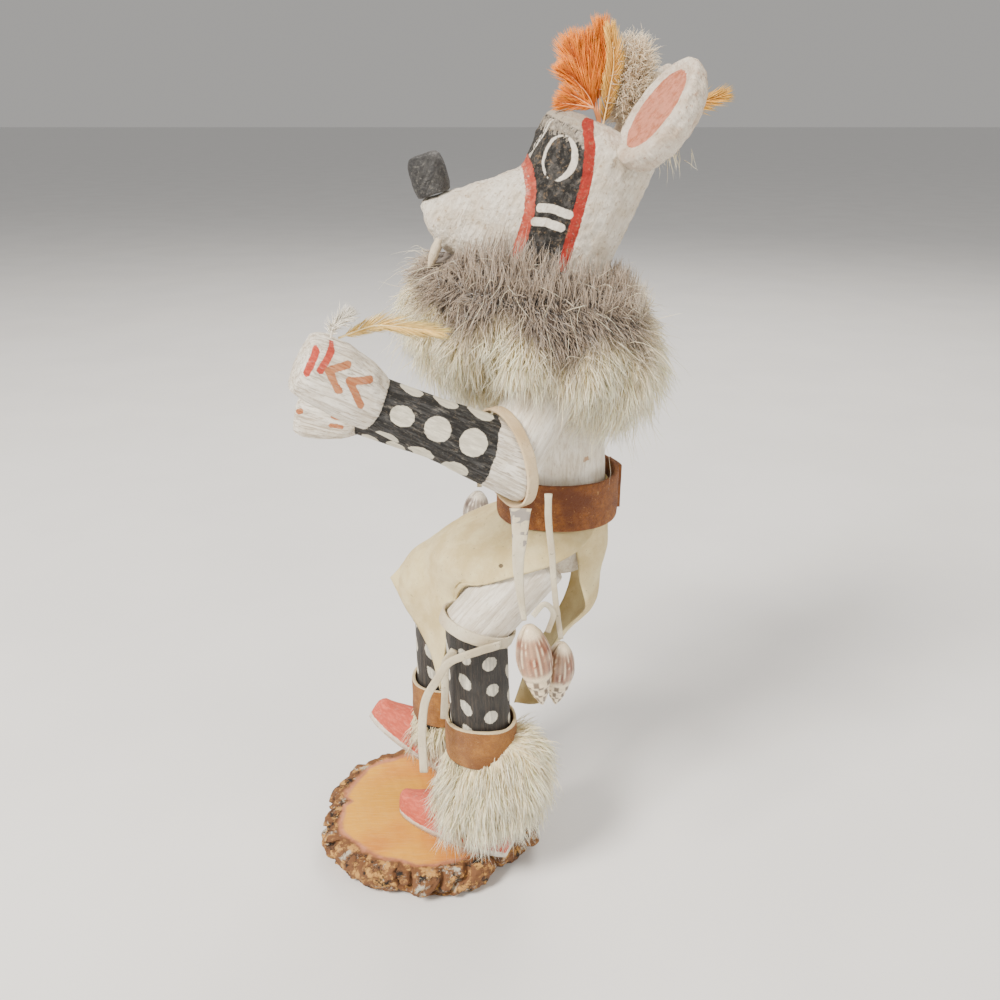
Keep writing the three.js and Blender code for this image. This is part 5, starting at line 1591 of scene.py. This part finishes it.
def flaps(materials):
    """The two kilt flaps, thin cream leather with broad soft folds and a short nap."""
    front = flap_grid(
        FRONT_ANGLES, FRONT_OUT,
        flap_edge(FRONT_ANGLES[0], FRONT_OUT, (35, 22, 136), (22, 23.5, 131), (10, 24.5, 124),
                  (-2, 23.5, 114.5), (-14.5, 20, 103)),
        flap_edge(FRONT_ANGLES[1], FRONT_OUT, (56, -19.5, 135.5), (48, -24, 132), (35.3, -24.4, 127.4),
                  (27.6, -23.4, 123.6), (20.5, -20.5, 119), (13.5, -9, 105), (8.8, -8, 92.8), (5.3, -5, 69)),
        [(-14.5, 20, 103), (-9, 14, 95.5), (-3.2, 8.5, 88.5), (1.6, 2, 80), (5.3, -5, 69)],
        (-1.5, 0, -0.5), True)
    back = flap_grid(
        BACK_ANGLES, BACK_OUT,
        flap_edge(BACK_ANGLES[0], BACK_OUT, (54, -15.2, 128), (54.3, -16, 120), (57.3, -15.4, 112),
                  (56.7, -11, 105), (50.5, -7.6, 97), (44.6, -5.4, 83), (42.7, -2, 61)),
        flap_edge(BACK_ANGLES[1], BACK_OUT, (54, 15.6, 128), (54.6, 17, 116), (54, 15, 104), (48, 12, 90),
                  (38, 10, 70), (33, 8, 54.5)),
        [(42.7, -2, 61), (38.6, 3.6, 56.6), (33, 8, 54.5)],
        (-2.5, 0, 0), False, 64, 72)
    hole = vec(*HOLE)
    for name, grid, node, size, area in (
            ("front_kilt_flap", front, "front_flap", FRONT_CUT, FRONT_AREA),
            ("back_kilt_flap", back, "back_flap", BACK_CUT, BACK_AREA)):
        shape = grid_sheet(eased(grid, 14), LEATHER)
        fall = smooth(TUCK_LOW - 1, TUCK_LOW - 12, shape.points[:, 2])
        layer = np.where(np.arange(len(shape.points)) < len(shape.points) // 2, 1.0, -1.0)
        folds = 0.55 * fbm(shape.points * vec(1, 1, 0.6), 17, 2, 160) + 0.1 * fbm(shape.points, 3, 3, 161)
        shape.relief(folds * fall * layer)
        # Painted shade for the hole: points within 0.9 mm of it take the chamois's dark edge colour.
        away = np.linalg.norm(shape.points - hole, axis=1) - 0.9
        made = piece(name, shape, materials["chamois"], [node], {"edge": away})


def upright_band(centre_x, centre_y, a, b, low, high, thickness, power, around, ripple, seed):
    """A belt or cuff: a rounded rectangle of leather carried round an oval, its faces a little rippled. Low
    is a level, and high a level or a function of the angle."""
    angles, across = turn_angles(around), turn_angles(44)
    out, rise = section(across, thickness / 2, 0.5, 7)
    rings = []
    for angle in angles:
        peak = high(angle) if callable(high) else high
        base_a, base_b = section(np.full(1, angle), a + thickness / 2, b + thickness / 2, power)
        away = unit(vec(base_a[0] / a**2, base_b[0] / b**2, 0))
        centre = vec(centre_x + base_a[0], centre_y + base_b[0], (low + peak) / 2)
        rings.append(centre + out[:, None] * away + (rise * (peak - low))[:, None] * UPRIGHT)
    shape = loft(rings, loop=True)
    return shape.relief(ripple * fbm(shape.points, 6, 4, seed))


def belt(materials):
    """The suede belt, with its loose end over the ring at the back."""
    a, b = WAIST.a + BELT_CLEAR, WAIST.b + BELT_CLEAR
    shape = upright_band(WAIST.x, 0, a, b, BELT.low, BELT.high, SUEDE, 2.2, 200, 0.14, 170)
    piece("suede_belt", shape, materials["suede"], ["belt"])
    out = BELT_CLEAR + SUEDE + GAP
    u, v = np.meshgrid(np.linspace(8, 34, 40), np.linspace(BELT.high - 1.2, BELT.low - 0.7, 40))
    x, y = section(np.radians(u), WAIST.a + out + SUEDE / 2, WAIST.b + out + SUEDE / 2, 2.2)
    lift = 0.5 * smooth(30, 34, u)
    shape = grid_sheet(np.stack([WAIST.x + x + lift, y, v], axis=-1), SUEDE)
    shape.relief(0.12 * fbm(shape.points, 5, 4, 171))
    piece("suede_belt_end", shape, materials["suede"], ["belt_end"])


def cuff_top(angle, level):
    """The upper edge of a cuff: a level that tips and waves a little round the shin."""
    return level + 1.1 * np.cos(angle - math.radians(215)) + 0.5 * np.sin(3 * angle)


def cuffs(materials):
    """A suede cuff round each shin, cut with a pale edge above."""
    for limbs in SIDES:
        low, high = CUFFS[limbs.name]
        share = ((low + high) / 2 - limbs.ankle[2]) / (limbs.knee[2] - limbs.ankle[2])
        centre = mix(limbs.ankle, limbs.knee, share)
        top = partial(cuff_top, level=high)
        shape = upright_band(centre[0], centre[1], CUFF_R, CUFF_R, low, top, SUEDE, 2, 150, 0.16, 172)
        turn = np.arctan2(shape.points[:, 1] - centre[1], shape.points[:, 0] - centre[0])
        rim = top(turn) - shape.points[:, 2] - 0.45
        piece(f"{limbs.name}_suede_cuff", shape, materials["cuff"], [f"{limbs.name}_shin_cuff"],
              {"edge": rim})


def joint_bands(materials):
    """A flat leather band round each elbow and knee, in the plane where the dowels meet."""
    for limbs in SIDES:
        for name, joint, before, bend, radius, width, material in (
                ("elbow", limbs.elbow, limbs.shoulder, limbs.elbow_bend, ARM_R, ELBOW_BAND, "tan_band"),
                ("knee", limbs.knee, limbs.ankle, limbs.knee_bend, LEG_R, KNEE_BAND, "band")):
            arriving = unit(joint - before)
            slant = math.acos(arriving @ bend)
            long_axis = unit(arriving - bend * (arriving @ bend))
            short_axis = np.cross(bend, long_axis)
            close_in = width / 2 * math.tan(slant)
            long = radius / math.cos(slant) + 1.5 * GAP + close_in / 2
            middle = joint - long_axis * close_in / 2
            short = radius + 2 * GAP
            out, side = section(turn_angles(24), BAND_THICK / 2, width / 2, 4.5)
            rings = []
            for angle in turn_angles(150):
                reach = BAND_THICK / 2 + out
                rings.append(
                    middle + ((long + reach) * math.cos(angle))[:, None] * long_axis
                    + ((short + reach) * math.sin(angle))[:, None] * short_axis + side[:, None] * bend)
            shape = loft(rings, loop=True)
            shape.relief(0.1 * fbm(shape.points, 3, 3, 175))
            away = np.full(len(shape.points), 9.0)
            piece(f"{limbs.name}_{name}_leather_band", shape, materials[material],
                  [f"{limbs.name}_{name}_band"], {"edge": away})


# ---------------------------------------------------------------- laces and shells

# Each lace: its route in metres from the band down, its first and last width, and the piece on its end.
LACES = {
    "left_elbow_strap": (
        [(0.0336, -0.0476, 0.1602), (0.0334, -0.0496, 0.152), (0.033, -0.05, 0.144), (0.0336, -0.0496, 0.134),
         (0.035, -0.0492, 0.124)], 0.0066, 0.0016, "left_shell_large"),
    "left_elbow_lace": (
        [(0.0416, -0.0485, 0.165), (0.0418, -0.0475, 0.157), (0.0433, -0.0455, 0.1435),
         (0.0446, -0.0436, 0.129), (0.0469, -0.0416, 0.113)], 0.0022, 0.0018, "left_shell_small"),
    "right_elbow_lace": (
        [(0.0208, 0.0528, 0.1585), (0.0198, 0.0532, 0.149), (0.0194, 0.052, 0.139), (0.0194, 0.0483, 0.129)],
        0.0024, 0.002, "right_shell"),
    "left_knee_lace_long": (
        [(0.0282, -0.0292, 0.1032), (0.018, -0.0328, 0.1018), (0.0104, -0.0326, 0.098),
         (0.0066, -0.0324, 0.0916), (0.0027, -0.0332, 0.0846), (0.0012, -0.0356, 0.0744),
         (0.0015, -0.0386, 0.0584)], 0.0028, 0.0028, None),
    "left_knee_lace_short": (
        [(0.0123, -0.0304, 0.1016), (0.0094, -0.029, 0.0964), (0.0088, -0.0276, 0.09),
         (0.0086, -0.0266, 0.082), (0.008, -0.026, 0.0715)], 0.0026, 0.0026, None),
    "right_knee_lace": (
        [(0.007, 0.0316, 0.099), (0.0025, 0.033, 0.092), (0.001, 0.0335, 0.082), (0.0016, 0.034, 0.07)],
        0.0028, 0.0028, None),
}
LACE_THICK = 1.2
STRAP_GREY = (145, 149)  # the levels over which its soiled upper part begins
SHELLS = {  # top, tip and radius of each shell, and how grey it is
    "left_shell_large": ((36.3, -49, 122), (41.2, -48, 92.5), 5.6, 0.0),
    "left_shell_small": ((47.2, -41.5, 111.4), (45.8, -41.4, 88), 4.9, 0.15),
    "right_shell": ((19.2, 47, 127.8), (16, 46.5, 107), 5.2, 0.75),
}
SHELL_OUTLINE = np.array([
    [0, 0], [0.2, 0.005], [0.34, 0.02], [0.5, 0.06], [0.66, 0.11], [0.78, 0.17], [0.88, 0.23], [0.96, 0.3],
    [1, 0.38], [1, 0.44], [0.97, 0.5], [0.92, 0.56], [0.86, 0.6], [0.78, 0.63], [0.76, 0.68], [0.67, 0.735],
    [0.57, 0.76], [0.56, 0.8], [0.48, 0.85], [0.41, 0.875], [0.34, 0.9], [0.24, 0.945], [0.12, 0.98],
    [0.02, 1]])


def strap(route, first, last, thickness, steps, around=20):
    """A flat strap along a route in millimetres. Its width lies along X, square to its run, and goes from the
    first to the last by the share of the way to the power 0.6. Gives the shape and the middles of its
    rings."""
    centres, _, outward, across = frames(route, steps)
    t = np.linspace(0, 1, steps)
    width = mix(first, last, t**0.6)
    rows = [ring(c, x, o, turn_angles(around), w / 2, thickness / 2, 3.6)
            for c, x, o, w in zip(centres, across, outward, width)]
    return loft(rows), centres


def shell(name, top, tip, radius, grey, materials):
    """A small cone shell: a lathed outline with ribs over its shoulder, a slit down one side darkened with
    painted shade for its opening, a cream band and brown checks on the stepped spire. Angle and s are each
    point's turn and share of the length."""
    top, tip = vec(*top), vec(*tip)
    run, length = unit(tip - top), np.linalg.norm(tip - top)
    across, upward = cross_axes(run)
    wide, share = along_profile(SHELL_OUTLINE, 76)
    wide = radius * np.maximum(wide, 0.02)
    angles = turn_angles(60)
    shape = loft([
        ring(top + run * s * length, across, upward, angles, w, w) for s, w in zip(share, wide)])
    local = local_axes(shape.points, top, across, upward, run)
    angle, s = np.arctan2(local[:, 1], local[:, 0]), local[:, 2] / length
    body = smooth(0.06, 0.16, s) * smooth(0.58, 0.5, s)
    ribs = np.sin(18 * angle + 3 * s)
    whorls = np.sin(s * 62 + angle)
    from_slit = np.mod(angle - 0.6 * s + 2.2 + np.pi, 2 * np.pi) - np.pi
    slit = np.exp(-(from_slit / 0.12) ** 2) * smooth(0.62, 0.5, s)
    fine = 0.07 * whorls * smooth(0.5, 0.62, s)
    shape.relief(0.13 * ribs * body - 1.0 * slit + fine + 0.05 * noise(local, 0.8, 180))
    cream, brown = vec(0.84, 0.70, 0.48), vec(0.06, 0.025, 0.012)
    tan, rust = vec(0.36, 0.13, 0.06), vec(0.18, 0.05, 0.022)
    tint = smooth(-0.7, 0.5, ribs + 0.5 * noise(local, 1.4, 181))[:, None]
    colour = mix(cream, mix(rust, tan, tint), body[:, None] * (0.85 - 0.25 * noise(local, 2.6, 182))[:, None])
    lines = smooth(0.8, 0.97, ribs + 0.25 * noise(local, 1.2, 185)) * body
    colour = mix(colour, cream * 1.08, lines[:, None] * 0.8)
    checks = smooth(0.05, 0.3, np.sin(6 * angle + 2 * np.round(s * 8)) * np.sign(np.sin(s * 26)))
    checks = checks * smooth(0.6, 0.64, s) * smooth(1.0, 0.95, s)
    colour = mix(colour, brown, checks[:, None] * 0.85)
    spots = smooth(0.35, 0.6, noise(local, 1.5, 184)) * smooth(0.48, 0.54, s) * smooth(0.63, 0.58, s)
    colour = mix(colour, rust, spots[:, None] * 0.7)
    # Painted shade: the slit is darkened nearly to black, for the shade inside the shell's opening.
    colour = mix(colour, vec(0.05, 0.03, 0.02), slit[:, None] * 0.7)
    colour = mix(colour, colour.mean(axis=1, keepdims=True) * vec(1.15, 1.1, 1.0), grey)
    colour = opaque(np.clip(colour, 0.01, 0.9))
    return piece(f"{name.replace('_shell', '_cone_shell')}", shape, materials["shell"], [name],
                 {"surface_colour": colour})


def laces(materials):
    """The leather laces with their shells. Each lace runs down from its band."""
    shells = {name: shell(name, *values, materials) for name, values in SHELLS.items()}
    for name, (route, first, last, end) in LACES.items():
        points = np.array(route) / MM
        length = float(np.linalg.norm(np.diff(even_spline(points, 200), axis=0), axis=1).sum())
        shape, centres = strap(points, first / MM, last / MM, LACE_THICK, 44)
        level = smooth(*STRAP_GREY, shape.points[:, 2]) * (name == "left_elbow_strap")
        grey = 9 - 9.4 * level * smooth(-0.5, -0.05, fbm(shape.points, 1.1, 3, 179))
        shape.relief(0.07 * fbm(shape.points, 2.2, 3, 178))
        made = piece(name + "_leather", shape, materials["lace"], [name], {"edge": grey})
        route[0]
        [list(map(float, c * MM)) for c in centres]
        [shells[end]] if end else ()
    loop = [(37.6, -49, 125.2), (41, -47.4, 128.4), (44, -45.4, 124.4), (42.6, -43.8, 116.6)]
    shape, _ = strap(loop, 1.8, 1.8, 0.9, 30, 16)
    piece("arched_shell_strip", shape, materials["lace"], ["shell_loop"],
          {"edge": np.full(len(shape.points), 9.0)})


# ---------------------------------------------------------------- finishes

SAND = (0.46, 0.41, 0.34)
MAKERS = {
    "log": lambda look: log_material(),
    "white": lambda look: painted_wood(
        "chalk_white_wood", look.white_paint, WHITE_SHADE, [], 0.35, 0.5, (0.44, 0.34, 0.23)),
    "torso": lambda look: painted_wood(
        "chalk_white_body", look.white_paint, WHITE_SHADE,
        [("paint_scuff", (0.5, 0.33, 0.2), (0.4, 0.25, 0.14), 0.5, 1.0)], 0.35, 0.5, (0.44, 0.34, 0.23)),
    "black": lambda look: painted_wood(
        "black_painted_wood", look.black_paint, BLACK_DARK,
        [("paint_dots", CREAM_DOT, (0.50, 0.48, 0.41), 0.45, 1.2)], 0.25, 0.5, (0.085, 0.065, 0.05), 0.62),
    "forearm": lambda look: painted_wood(
        "forearm_paint", look.white_paint, WHITE_SHADE,
        [("paint_black", BLACK_PALE, BLACK_DARK, 0.35, 1.2),
         ("paint_dots", CREAM_DOT, (0.62, 0.58, 0.47), 0.2, 0.9),
         ("paint_bars", (0.62, 0.10, 0.06), (0.46, 0.05, 0.03), 0.4, 0.6),
         ("paint_chevrons", RUST, (0.48, 0.20, 0.09), 0.35, 0.6)], 0.35, 0.75, (0.36, 0.27, 0.18)),
    "foot": lambda look: painted_wood(
        "salmon_painted_foot", look.white_paint, WHITE_SHADE,
        [("paint_upper", look.salmon_paint, SALMON_DARK, 0.3, 1.5)], 0.4, 0.4, (0.5, 0.36, 0.27)),
    "mask": lambda look: painted_wood(
        "mask_paint", (0.82, 0.77, 0.67), (0.70, 0.62, 0.50),
        [("paint_brow", SAND, (0.42, 0.36, 0.28), 0.45, 2.0),
         ("paint_black", (0.07, 0.066, 0.062), (0.009, 0.0085, 0.008), 0.3, 1.4),
         ("paint_dust", SAND, (0.24, 0.21, 0.17), 0.8, 9.0),
         ("paint_red", look.red_paint, (0.34, 0.025, 0.015), 0.35, 1.0),
         ("paint_front_red", (0.58, 0.12, 0.07), (0.42, 0.06, 0.035), 0.6, 1.2),
         ("paint_white", (0.86, 0.82, 0.74), (0.72, 0.67, 0.58), 0.15, 0.6)],
        1.0, 0.25, (0.36, 0.24, 0.13), 0.9, 0.8, 1.5),
    "ear": lambda look: painted_wood(
        "ear_paint", (0.80, 0.73, 0.62), (0.62, 0.50, 0.38),
        [("paint_pink", PINK, (0.66, 0.26, 0.17), 0.2, 1.2)], 1.0, 0.2, (0.40, 0.22, 0.13), 0.9, 0.8, 1.5),
    # The nose's grey line colour in its sand pits and grain is partly the paint's grit and partly a painted
    # sheen on the black.
    "nose": lambda look: painted_wood(
        "nose_paint", (0.035, 0.035, 0.036), (0.010, 0.010, 0.011), [], 0.9, 0.15, (0.16, 0.155, 0.14), 0.42,
        0.8, 0.8),
    "ivory": lambda look: leather(
        "ivory", (0.80, 0.72, 0.56), (0.62, 0.50, 0.34), (0.5, 0.38, 0.24), 0.15, 0.4),
    "fur": lambda look: hair_material("fur_hair", 0.7),
    "vane": lambda look: hair_material("feather_vane", 0.6, 0.0),
    # The chamois's edge colour is painted shade: the dark dot at the kilt's hole.
    "chamois": lambda look: leather(
        "chamois_kilt", look.chamois, CHAMOIS_DARK, (0.34, 0.26, 0.15), 0.22, 0.9, (0.10, 0.065, 0.035)),
    "suede": lambda look: leather(
        "belt_suede", look.suede, (0.13, 0.032, 0.005), (0.50, 0.24, 0.07), 0.75, 0.95, nap_depth=0.7),
    "cuff": lambda look: leather(
        "cuff_suede", (0.48, 0.20, 0.03), (0.20, 0.068, 0.010), (0.52, 0.28, 0.09), 0.65, 0.95,
        (0.78, 0.62, 0.36), 0.7),
    "band": lambda look: leather(
        "pale_leather_band", (0.78, 0.72, 0.56), (0.60, 0.50, 0.33), (0.25, 0.18, 0.11), 0.35, 0.85,
        (0.8, 0.7, 0.5)),
    "tan_band": lambda look: leather(
        "tan_leather_band", (0.74, 0.60, 0.38), (0.54, 0.38, 0.20), (0.22, 0.14, 0.08), 0.35, 0.85,
        (0.8, 0.7, 0.5)),
    "lace": lambda look: leather(
        "leather_lace", (0.76, 0.70, 0.53), (0.60, 0.51, 0.34), (0.20, 0.15, 0.10), 0.3, 0.85,
        (0.30, 0.27, 0.24)),
    "shell": lambda look: colour_material(
        "sea_shell", 0.38, 2.2, 0.12, Coat_Weight=0.25, Coat_Roughness=0.25),
}


class Finishes(dict):
    """The materials by their short names, each made when it is first asked for."""

    def __missing__(self, key):
        """Makes a material."""
        self[key] = MAKERS[key](bpy.context.scene.doll_look)
        return self[key]


finishes = Finishes()

# ---------------------------------------------------------------- stage


def stage(view):
    """The camera, a pale floor, soft lights and the sky."""
    scene = bpy.context.scene
    camera = bpy.data.objects.new("camera", bpy.data.cameras.new("camera"))
    camera.data.lens = view.lens
    camera.data.sensor_width = 36
    camera.data.clip_start = 0.01
    camera.location = view.camera_place
    camera.rotation_euler = (view.camera_tilt, 0, 0)
    scene.collection.objects.link(camera)
    scene.camera = camera

    far = 40000.0
    corners = [(-far, -far, 0), (far, -far, 0), (far, far, 0), (-far, far, 0)]
    floor = bpy.data.objects.new("floor", write_mesh("floor", Shape(corners, [[0, 1, 2, 3]])))
    material, g = new_material("pale_floor")
    at = g.millimetres()
    darker = tuple(c * 0.96 for c in view.floor_colour)
    colour = g.mix(g.range(g.noise(at, 0.01, 3.0), 0.3, 0.7), view.floor_colour, darker)
    close_material(g, colour, 0.95)
    floor.data.materials.append(material)
    scene.collection.objects.link(floor)

    for name, place, size, power in (
            ("key_light", (-0.75, -0.75, 1.15), 0.45, view.key_power),
            ("fill_light", (0.9, -0.8, 0.7), 0.9, view.key_power * 0.2),
            ("back_light", (0.3, 0.9, 1.2), 0.8, view.key_power * 0.3)):
        light = bpy.data.lights.new(name, "AREA")
        light.energy = power
        light.size = size
        light.color = view.light_colour
        made = bpy.data.objects.new(name, light)
        made.location = place
        aim = Vector((0.03, 0, 0.14)) - Vector(place)
        made.rotation_euler = aim.to_track_quat("-Z", "Y").to_euler()
        scene.collection.objects.link(made)

    world = bpy.data.worlds.new("soft_sky")
    world.use_nodes = True
    sky = world.node_tree.nodes["Background"]
    sky.inputs["Color"].default_value = rgba(view.sky_colour)
    sky.inputs["Strength"].default_value = view.sky_strength
    scene.world = world


# ---------------------------------------------------------------- the add-on


def colour_property(name, text, default):
    """A colour that the user can change."""
    return FloatVectorProperty(
        name=name, description=text, subtype="COLOR", size=3, min=0, max=1, default=default)


class DollLook(bpy.types.PropertyGroup):
    """The colours of the doll's paints and leathers, and the length and thickness of its hair."""

    white_paint: colour_property("White Paint", "Chalk white of the body", WHITE)
    black_paint: colour_property("Black Paint", "Paint of the shins", (0.022, 0.021, 0.02))
    salmon_paint: colour_property("Salmon Paint", "Paint of the feet", SALMON)
    red_paint: colour_property("Red Paint", "Lines of the face and the hand", RED)
    chamois: colour_property("Chamois", "Soft leather of the kilt", CHAMOIS)
    suede: colour_property("Suede", "Leather of the belt", (0.46, 0.165, 0.022))
    fur_length: FloatProperty(
        name="Fur Length", description="Length of all the hair as a share of its natural length", default=1.0,
        min=0.4, max=1.4)
    hair_width: FloatProperty(
        name="Hair Width", description="Thickness of all the hair as a share of its natural thickness",
        default=1.0, min=0.3, max=2.0)


class DollStage(bpy.types.PropertyGroup):
    """The camera, the lights and the floor."""

    camera_place: FloatVectorProperty(
        name="Camera Place", description="Where the camera stands", subtype="TRANSLATION", unit="LENGTH",
        size=3, default=(0.0276, -0.296, 0.265))
    camera_tilt: FloatProperty(
        name="Camera Tilt", description="Angle of the camera from straight down", subtype="ANGLE",
        default=math.radians(67.65))
    lens: FloatProperty(name="Lens", description="Focal length in millimetres", default=33.26, min=5)
    key_power: FloatProperty(
        name="Key Power", description="Power of the main light in watts", default=46.0, min=0)
    sky_strength: FloatProperty(
        name="Sky Strength", description="Brightness of the soft sky", default=0.42, min=0)
    light_colour: colour_property("Light Colour", "Colour of the lights", (1.0, 0.93, 0.84))
    sky_colour: colour_property("Sky Colour", "Colour of the soft sky", (1.0, 0.975, 0.94))
    floor_colour: colour_property("Floor Colour", "Colour of the floor", (0.80, 0.80, 0.80))


def build(*makers):
    """Makes the pieces of each builder with the finishes. An operator gives back what this does."""
    for make in makers:
        make(finishes)
    return {"FINISHED"}


class DOLL_OT_stage(bpy.types.Operator):
    """Add the camera, the floor and the soft lights"""

    bl_idname = "doll.stage"
    bl_label = "Stage"

    def execute(self, context):
        stage(context.scene.doll_stage)
        return {"FINISHED"}


class DOLL_OT_log_slice(bpy.types.Operator):
    """Add the slice of log with its bark"""

    bl_idname = "doll.log_slice"
    bl_label = "Log Slice"

    def execute(self, context):
        return build(base)


class DOLL_OT_legs(bpy.types.Operator):
    """Add the feet, shins and thighs"""

    bl_idname = "doll.legs"
    bl_label = "Legs and Feet"

    def execute(self, context):
        return build(legs, feet)


class DOLL_OT_torso(bpy.types.Operator):
    """Add the carved body"""

    bl_idname = "doll.torso"
    bl_label = "Torso"

    def execute(self, context):
        return build(torso)


class DOLL_OT_arms(bpy.types.Operator):
    """Add the arms with their closed hands"""

    bl_idname = "doll.arms"
    bl_label = "Arms"

    def execute(self, context):
        return build(arms)


class DOLL_OT_head(bpy.types.Operator):
    """Add the mask, nose, fangs and ears"""

    bl_idname = "doll.head"
    bl_label = "Mask and Ears"

    def execute(self, context):
        return build(head, ears)


class DOLL_OT_leather(bpy.types.Operator):
    """Add the belt, cuffs, joint bands and kilt flaps"""

    bl_idname = "doll.leather"
    bl_label = "Belt, Cuffs and Kilt"

    def execute(self, context):
        return build(belt, cuffs, joint_bands, flaps)


class DOLL_OT_laces(bpy.types.Operator):
    """Add the leather laces and the shells on them"""

    bl_idname = "doll.laces"
    bl_label = "Laces and Shells"

    def execute(self, context):
        return build(laces)


class DOLL_OT_fur(bpy.types.Operator):
    """Add the neck ruff and the anklets"""

    bl_idname = "doll.fur"
    bl_label = "Fur"

    def execute(self, context):
        return build(ruff, anklets)


class DOLL_OT_feathers(bpy.types.Operator):
    """Add the crest, its down and the feathers in the hand"""

    bl_idname = "doll.feathers"
    bl_label = "Feathers"

    def execute(self, context):
        return build(feathers)


OPERATORS = (
    DOLL_OT_stage, DOLL_OT_laces, DOLL_OT_log_slice, DOLL_OT_legs, DOLL_OT_torso, DOLL_OT_arms, DOLL_OT_head,
    DOLL_OT_leather, DOLL_OT_fur, DOLL_OT_feathers)


class DOLL_PT_panel(bpy.types.Panel):
    """The doll's colours and its builders"""

    bl_idname = "DOLL_PT_panel"
    bl_label = "Kachina Doll"
    bl_space_type = "VIEW_3D"
    bl_region_type = "UI"
    bl_category = "Doll"

    def draw(self, context):
        for group in (context.scene.doll_look, context.scene.doll_stage):
            box = self.layout.box()
            for key in group.__annotations__:
                box.prop(group, key)
        for operator in OPERATORS:
            self.layout.operator(operator.bl_idname)


CLASSES = (DollLook, DollStage, *OPERATORS, DOLL_PT_panel)


def register():
    """Registers the classes and hangs their settings on the scene."""
    for each in CLASSES:
        bpy.utils.register_class(each)
    bpy.types.Scene.doll_look = PointerProperty(type=DollLook)
    bpy.types.Scene.doll_stage = PointerProperty(type=DollStage)


def unregister():
    """Takes them away again."""
    del bpy.types.Scene.doll_stage
    del bpy.types.Scene.doll_look
    for each in reversed(CLASSES):
        bpy.utils.unregister_class(each)


def main():
    """Builds the doll."""
    register()
    for operator in OPERATORS:
        group, name = operator.bl_idname.split(".")
        getattr(getattr(bpy.ops, group), name)()


if __name__ == "__main__":
    main()
